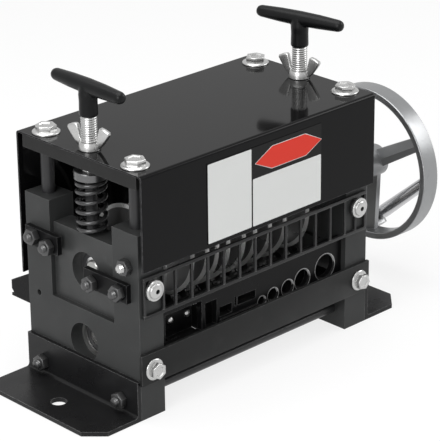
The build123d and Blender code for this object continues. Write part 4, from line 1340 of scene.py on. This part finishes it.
@dataclass
class SmallFasteners:
    """Hub bolt, its washer and the two screws of the flat guide."""

    hub_x: float = 232.0
    washer_thick: float = 2.0
    hub_flats: float = 13.0
    hub_head: float = 5.5
    guide_spots: tuple[Point, ...] = ((-88.0, -53.0, 71.0), (-68.0, -53.0, 71.0))

    def build(self) -> None:
        """Builds the three pieces."""
        washer = turned([(4.1, 0), (10.7, 0), (11.0, 0.3), (11.0, 1.7), (10.7, 2.0), (4.1, 2.0)],
                        48, closed=True)
        Piece("hub_washer_ring", "upper_rotor", Slot.ZINC, ZINC, ("hub_washer",)).make(
            placed(washer, (self.hub_x, 0, UPPER_Z), (1, 0, 0)))
        head = six_sided(self.hub_flats, 0.0, self.hub_head, dish=0.5, edge=0.6)
        bolt = joined([head, shank(4.0, 20.0)])
        Piece("hub_bolt_head", "upper_rotor", Slot.ZINC, ZINC, ("hub_bolt",), 40).make(
            placed(bolt, (self.hub_x + self.washer_thick, 0, UPPER_Z), (1, 0, 0)))
        screws = []
        for spot in self.guide_spots:
            head = turned([(0, 0), (3.4, 0), (3.4, 0.6), (3.0, 1.5), (2.2, 2.1), (1.2, 2.4),
                           (0, 2.4)], 32)
            stem = turned([(0, -5), (2.0, -5), (2.0, 0.1), (0, 0.1)], 20)
            screws.append(placed(joined([head, stem]), spot, (0, -1, 0)))
        Piece("guide_screw_heads", "frame", Slot.ZINC, ZINC, ("guide_screws",)).make(joined(screws))


@dataclass
class CadSurfaces:
    """Finishes of the CAD nodes that are shown as they are."""

    finishes: dict[str, Finish] = field(default_factory=lambda: {
        "cover": COVER_PAINT, "label_plate": LABEL_BLACK, "feed_plate": BLACK_PAINT,
        "flat_guide": BLACK_PAINT, "outlet": BLACK_PAINT, "tie_rods": ROD_STEEL,
        "spacer_sleeves": ROD_STEEL,
        "upper_shaft": BARE_STEEL, "lower_shaft": BARE_STEEL, "blades": BLADE_STEEL,
        "blade_collars": BARE_STEEL, "feed_rollers": ROLLER_STEEL, "upper_gear": GEAR_STEEL,
        "lower_gear": GEAR_STEEL, "handwheel": WHEEL_RIM, "crank_lug": WHEEL_RIM,
        "fold_pin": BARE_STEEL, "crank_arm": BARE_STEEL, "crank_grip": GRIP_METAL,
    })
    paired: dict[str, Finish] = field(default_factory=lambda: {
        "end_frame": FRAME_STEEL, "foot": FOOT_PAINT, "bridge": BRIDGE_PAINT,
        "sliding_block": BLOCK_STEEL, "clip_rear": BLACK_PAINT, "clip_front": BLACK_PAINT,
    })

    def build(self) -> None:
        """Gives each shown CAD node its finish."""
        chosen = dict(self.finishes)
        for side in Side:
            chosen.update({f"{word}_{side.word}": finish for word, finish in self.paired.items()})
        for name, finish in chosen.items():
            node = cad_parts[name]
            for socket in node.material_slots:
                socket.material = finish.material()
            LOG.info("%s: %s", name, finish.name)


# --- studio ---------------------------------------------------------------------------------------
@dataclass
class Studio:
    """Floor, world, lamps and camera."""

    azimuth: float = -44.03
    elevation: float = 22.97
    roll: float = -0.56
    distance: float = 1994.0
    target: Point = (11.8, -12.7, 121.0)
    lens: float = 184.7
    floor_colour: Shade = 0.86
    floor_size: float = 12.0
    floor_drop: float = 0.0002
    floor_white: float = 0.8
    world_light: float = 0.42
    lamps: tuple[tuple[str, Point, Point, float, float], ...] = (
        ("top_softbox", (-200.0, 100.0, 1500.0), (0.0, 0.0, 100.0), 1400.0, 20.0),
        ("left_softbox", (-1700.0, -500.0, 900.0), (0.0, 0.0, 120.0), 1000.0, 20.0),
        ("right_softbox", (1500.0, -900.0, 1000.0), (0.0, 0.0, 120.0), 900.0, 11.0),
    )

    def build(self) -> None:
        """Builds the whole studio."""
        self.floor()
        self.world()
        for lamp in self.lamps:
            self.lamp(*lamp)
        self.camera()
        bpy.context.scene.view_settings.view_transform = "Standard"

    def floor(self) -> None:
        """A wide pale floor that keeps the object's shadow."""
        bm = bmesh.new()
        bmesh.ops.create_grid(bm, x_segments=2, y_segments=2, size=self.floor_size)
        mesh = bpy.data.meshes.new("studio_floor")
        bm.to_mesh(mesh)
        bm.free()
        made = bpy.data.objects.new("studio_floor", mesh)
        made.location = (0, 0, -self.floor_drop)
        bpy.context.scene.collection.objects.link(made)
        material = bpy.data.materials.new("studio_floor_pale")
        material.use_nodes = True
        kit = NodeKit(material.node_tree)
        shader = kit.tree.nodes["Principled BSDF"]
        for name, value in (("Base Color", rgba(self.floor_colour)), ("Roughness", 0.9),
                            ("Specular IOR Level", 0.1)):
            kit.feed(shader.inputs[name], value)
        share = kit.math("MULTIPLY", self._seen_white(kit), self.floor_white)
        mix = kit.add("MixShader", {0: share, 1: shader.outputs[0], 2: kit.add("Emission")[0]})
        kit.feed(kit.tree.nodes["Material Output"].inputs["Surface"], mix[0])
        mesh.materials.append(material)

    @staticmethod
    def _seen_white(kit: NodeKit) -> bpy.types.NodeSocket:
        """One for the rays that see the white background.

        Args:
            kit: The material's or the world's nodes.

        Returns:
            The socket that puts it out: camera, gloss and glass rays.
        """
        path = kit.add("LightPath")
        total = path["Is Camera Ray"]
        for name in ("Is Glossy Ray", "Is Transmission Ray"):
            total = kit.math("ADD", total, path[name], clamp=True)
        return total

    def world(self) -> None:
        """A white background for the camera and for gloss, and a soft light on the object."""
        world = bpy.data.worlds.new("studio_world")
        bpy.context.scene.world = world
        world.use_nodes = True
        kit = NodeKit(world.node_tree)
        soft = kit.tree.nodes["Background"]
        kit.feed(soft.inputs["Color"], rgba(1.0))
        kit.feed(soft.inputs["Strength"], self.world_light)
        seen = kit.add("Background", {"Strength": 1.0})
        mix = kit.add("MixShader", {0: self._seen_white(kit), 1: soft.outputs[0], 2: seen[0]})
        kit.feed(kit.tree.nodes["World Output"].inputs["Surface"], mix[0])

    def lamp(self, name: str, spot: Point, aim: Point, size: float, power: float) -> None:
        """One square softbox.

        Args:
            name: The lamp's name.
            spot: Its place, in millimetres.
            aim: The point it faces.
            size: Its side.
            power: Its power in watts.
        """
        light = bpy.data.lights.new(name, "AREA")
        light.shape, light.size, light.energy = "SQUARE", size * MM, power
        holder = bpy.data.objects.new(name, light)
        holder.location = Vector(spot) * MM
        holder.rotation_euler = (Vector(aim) - Vector(spot)).to_track_quat("-Z", "Y").to_euler()
        bpy.context.scene.collection.objects.link(holder)

    def camera(self) -> None:
        """The camera at the photograph's place."""
        a, e, r = (math.radians(v) for v in (self.azimuth, self.elevation, self.roll))
        back = Vector((math.sin(a) * math.cos(e), -math.cos(a) * math.cos(e), math.sin(e)))
        level = Vector((math.cos(a), math.sin(a), 0))
        upright = back.cross(level)
        right = level * math.cos(r) + upright * math.sin(r)
        up = back.cross(right)
        view = bpy.data.cameras.new("studio_camera")
        view.lens, view.sensor_width, view.sensor_fit = self.lens, 36.0, "HORIZONTAL"
        view.clip_start, view.clip_end = 0.05, 50.0
        holder = bpy.data.objects.new("studio_camera", view)
        holder.matrix_world = Matrix.Translation(
            (Vector(self.target) + back * self.distance) * MM
        ) @ Matrix((right, up, back)).transposed().to_4x4()
        bpy.context.scene.collection.objects.link(holder)
        bpy.context.scene.camera = holder


def main() -> None:
    """Builds the studio and every sub-assembly in order."""
    logging.basicConfig(level=logging.INFO, format="%(name)s %(message)s")
    builders: list[tuple[str, Callable[[], object]]] = [
        ("studio", Studio().build),
        ("CAD surfaces", CadSurfaces().build),
        ("left pressure unit", PressureUnit(Side.LEFT, -2.0).build),
        ("right pressure unit", PressureUnit(Side.RIGHT, 11.0).build),
        ("flange bolts", CoverBolts().build),
        ("front guards", FrontGuards().build),
        ("guard bolts", GuardBolts().build),
        ("studs and nuts", ClipFasteners().build),
        ("bearings", BallBearings().build),
        ("notice plate", NoticePlate().build),
        ("channel rims", ChannelRims().build),
        ("inner trim", InnerTrim().build),
        ("small fasteners", SmallFasteners().build),
    ]
    for name, build in builders:
        build()
        LOG.info("built %s", name)


if __name__ == "__main__":
    main()
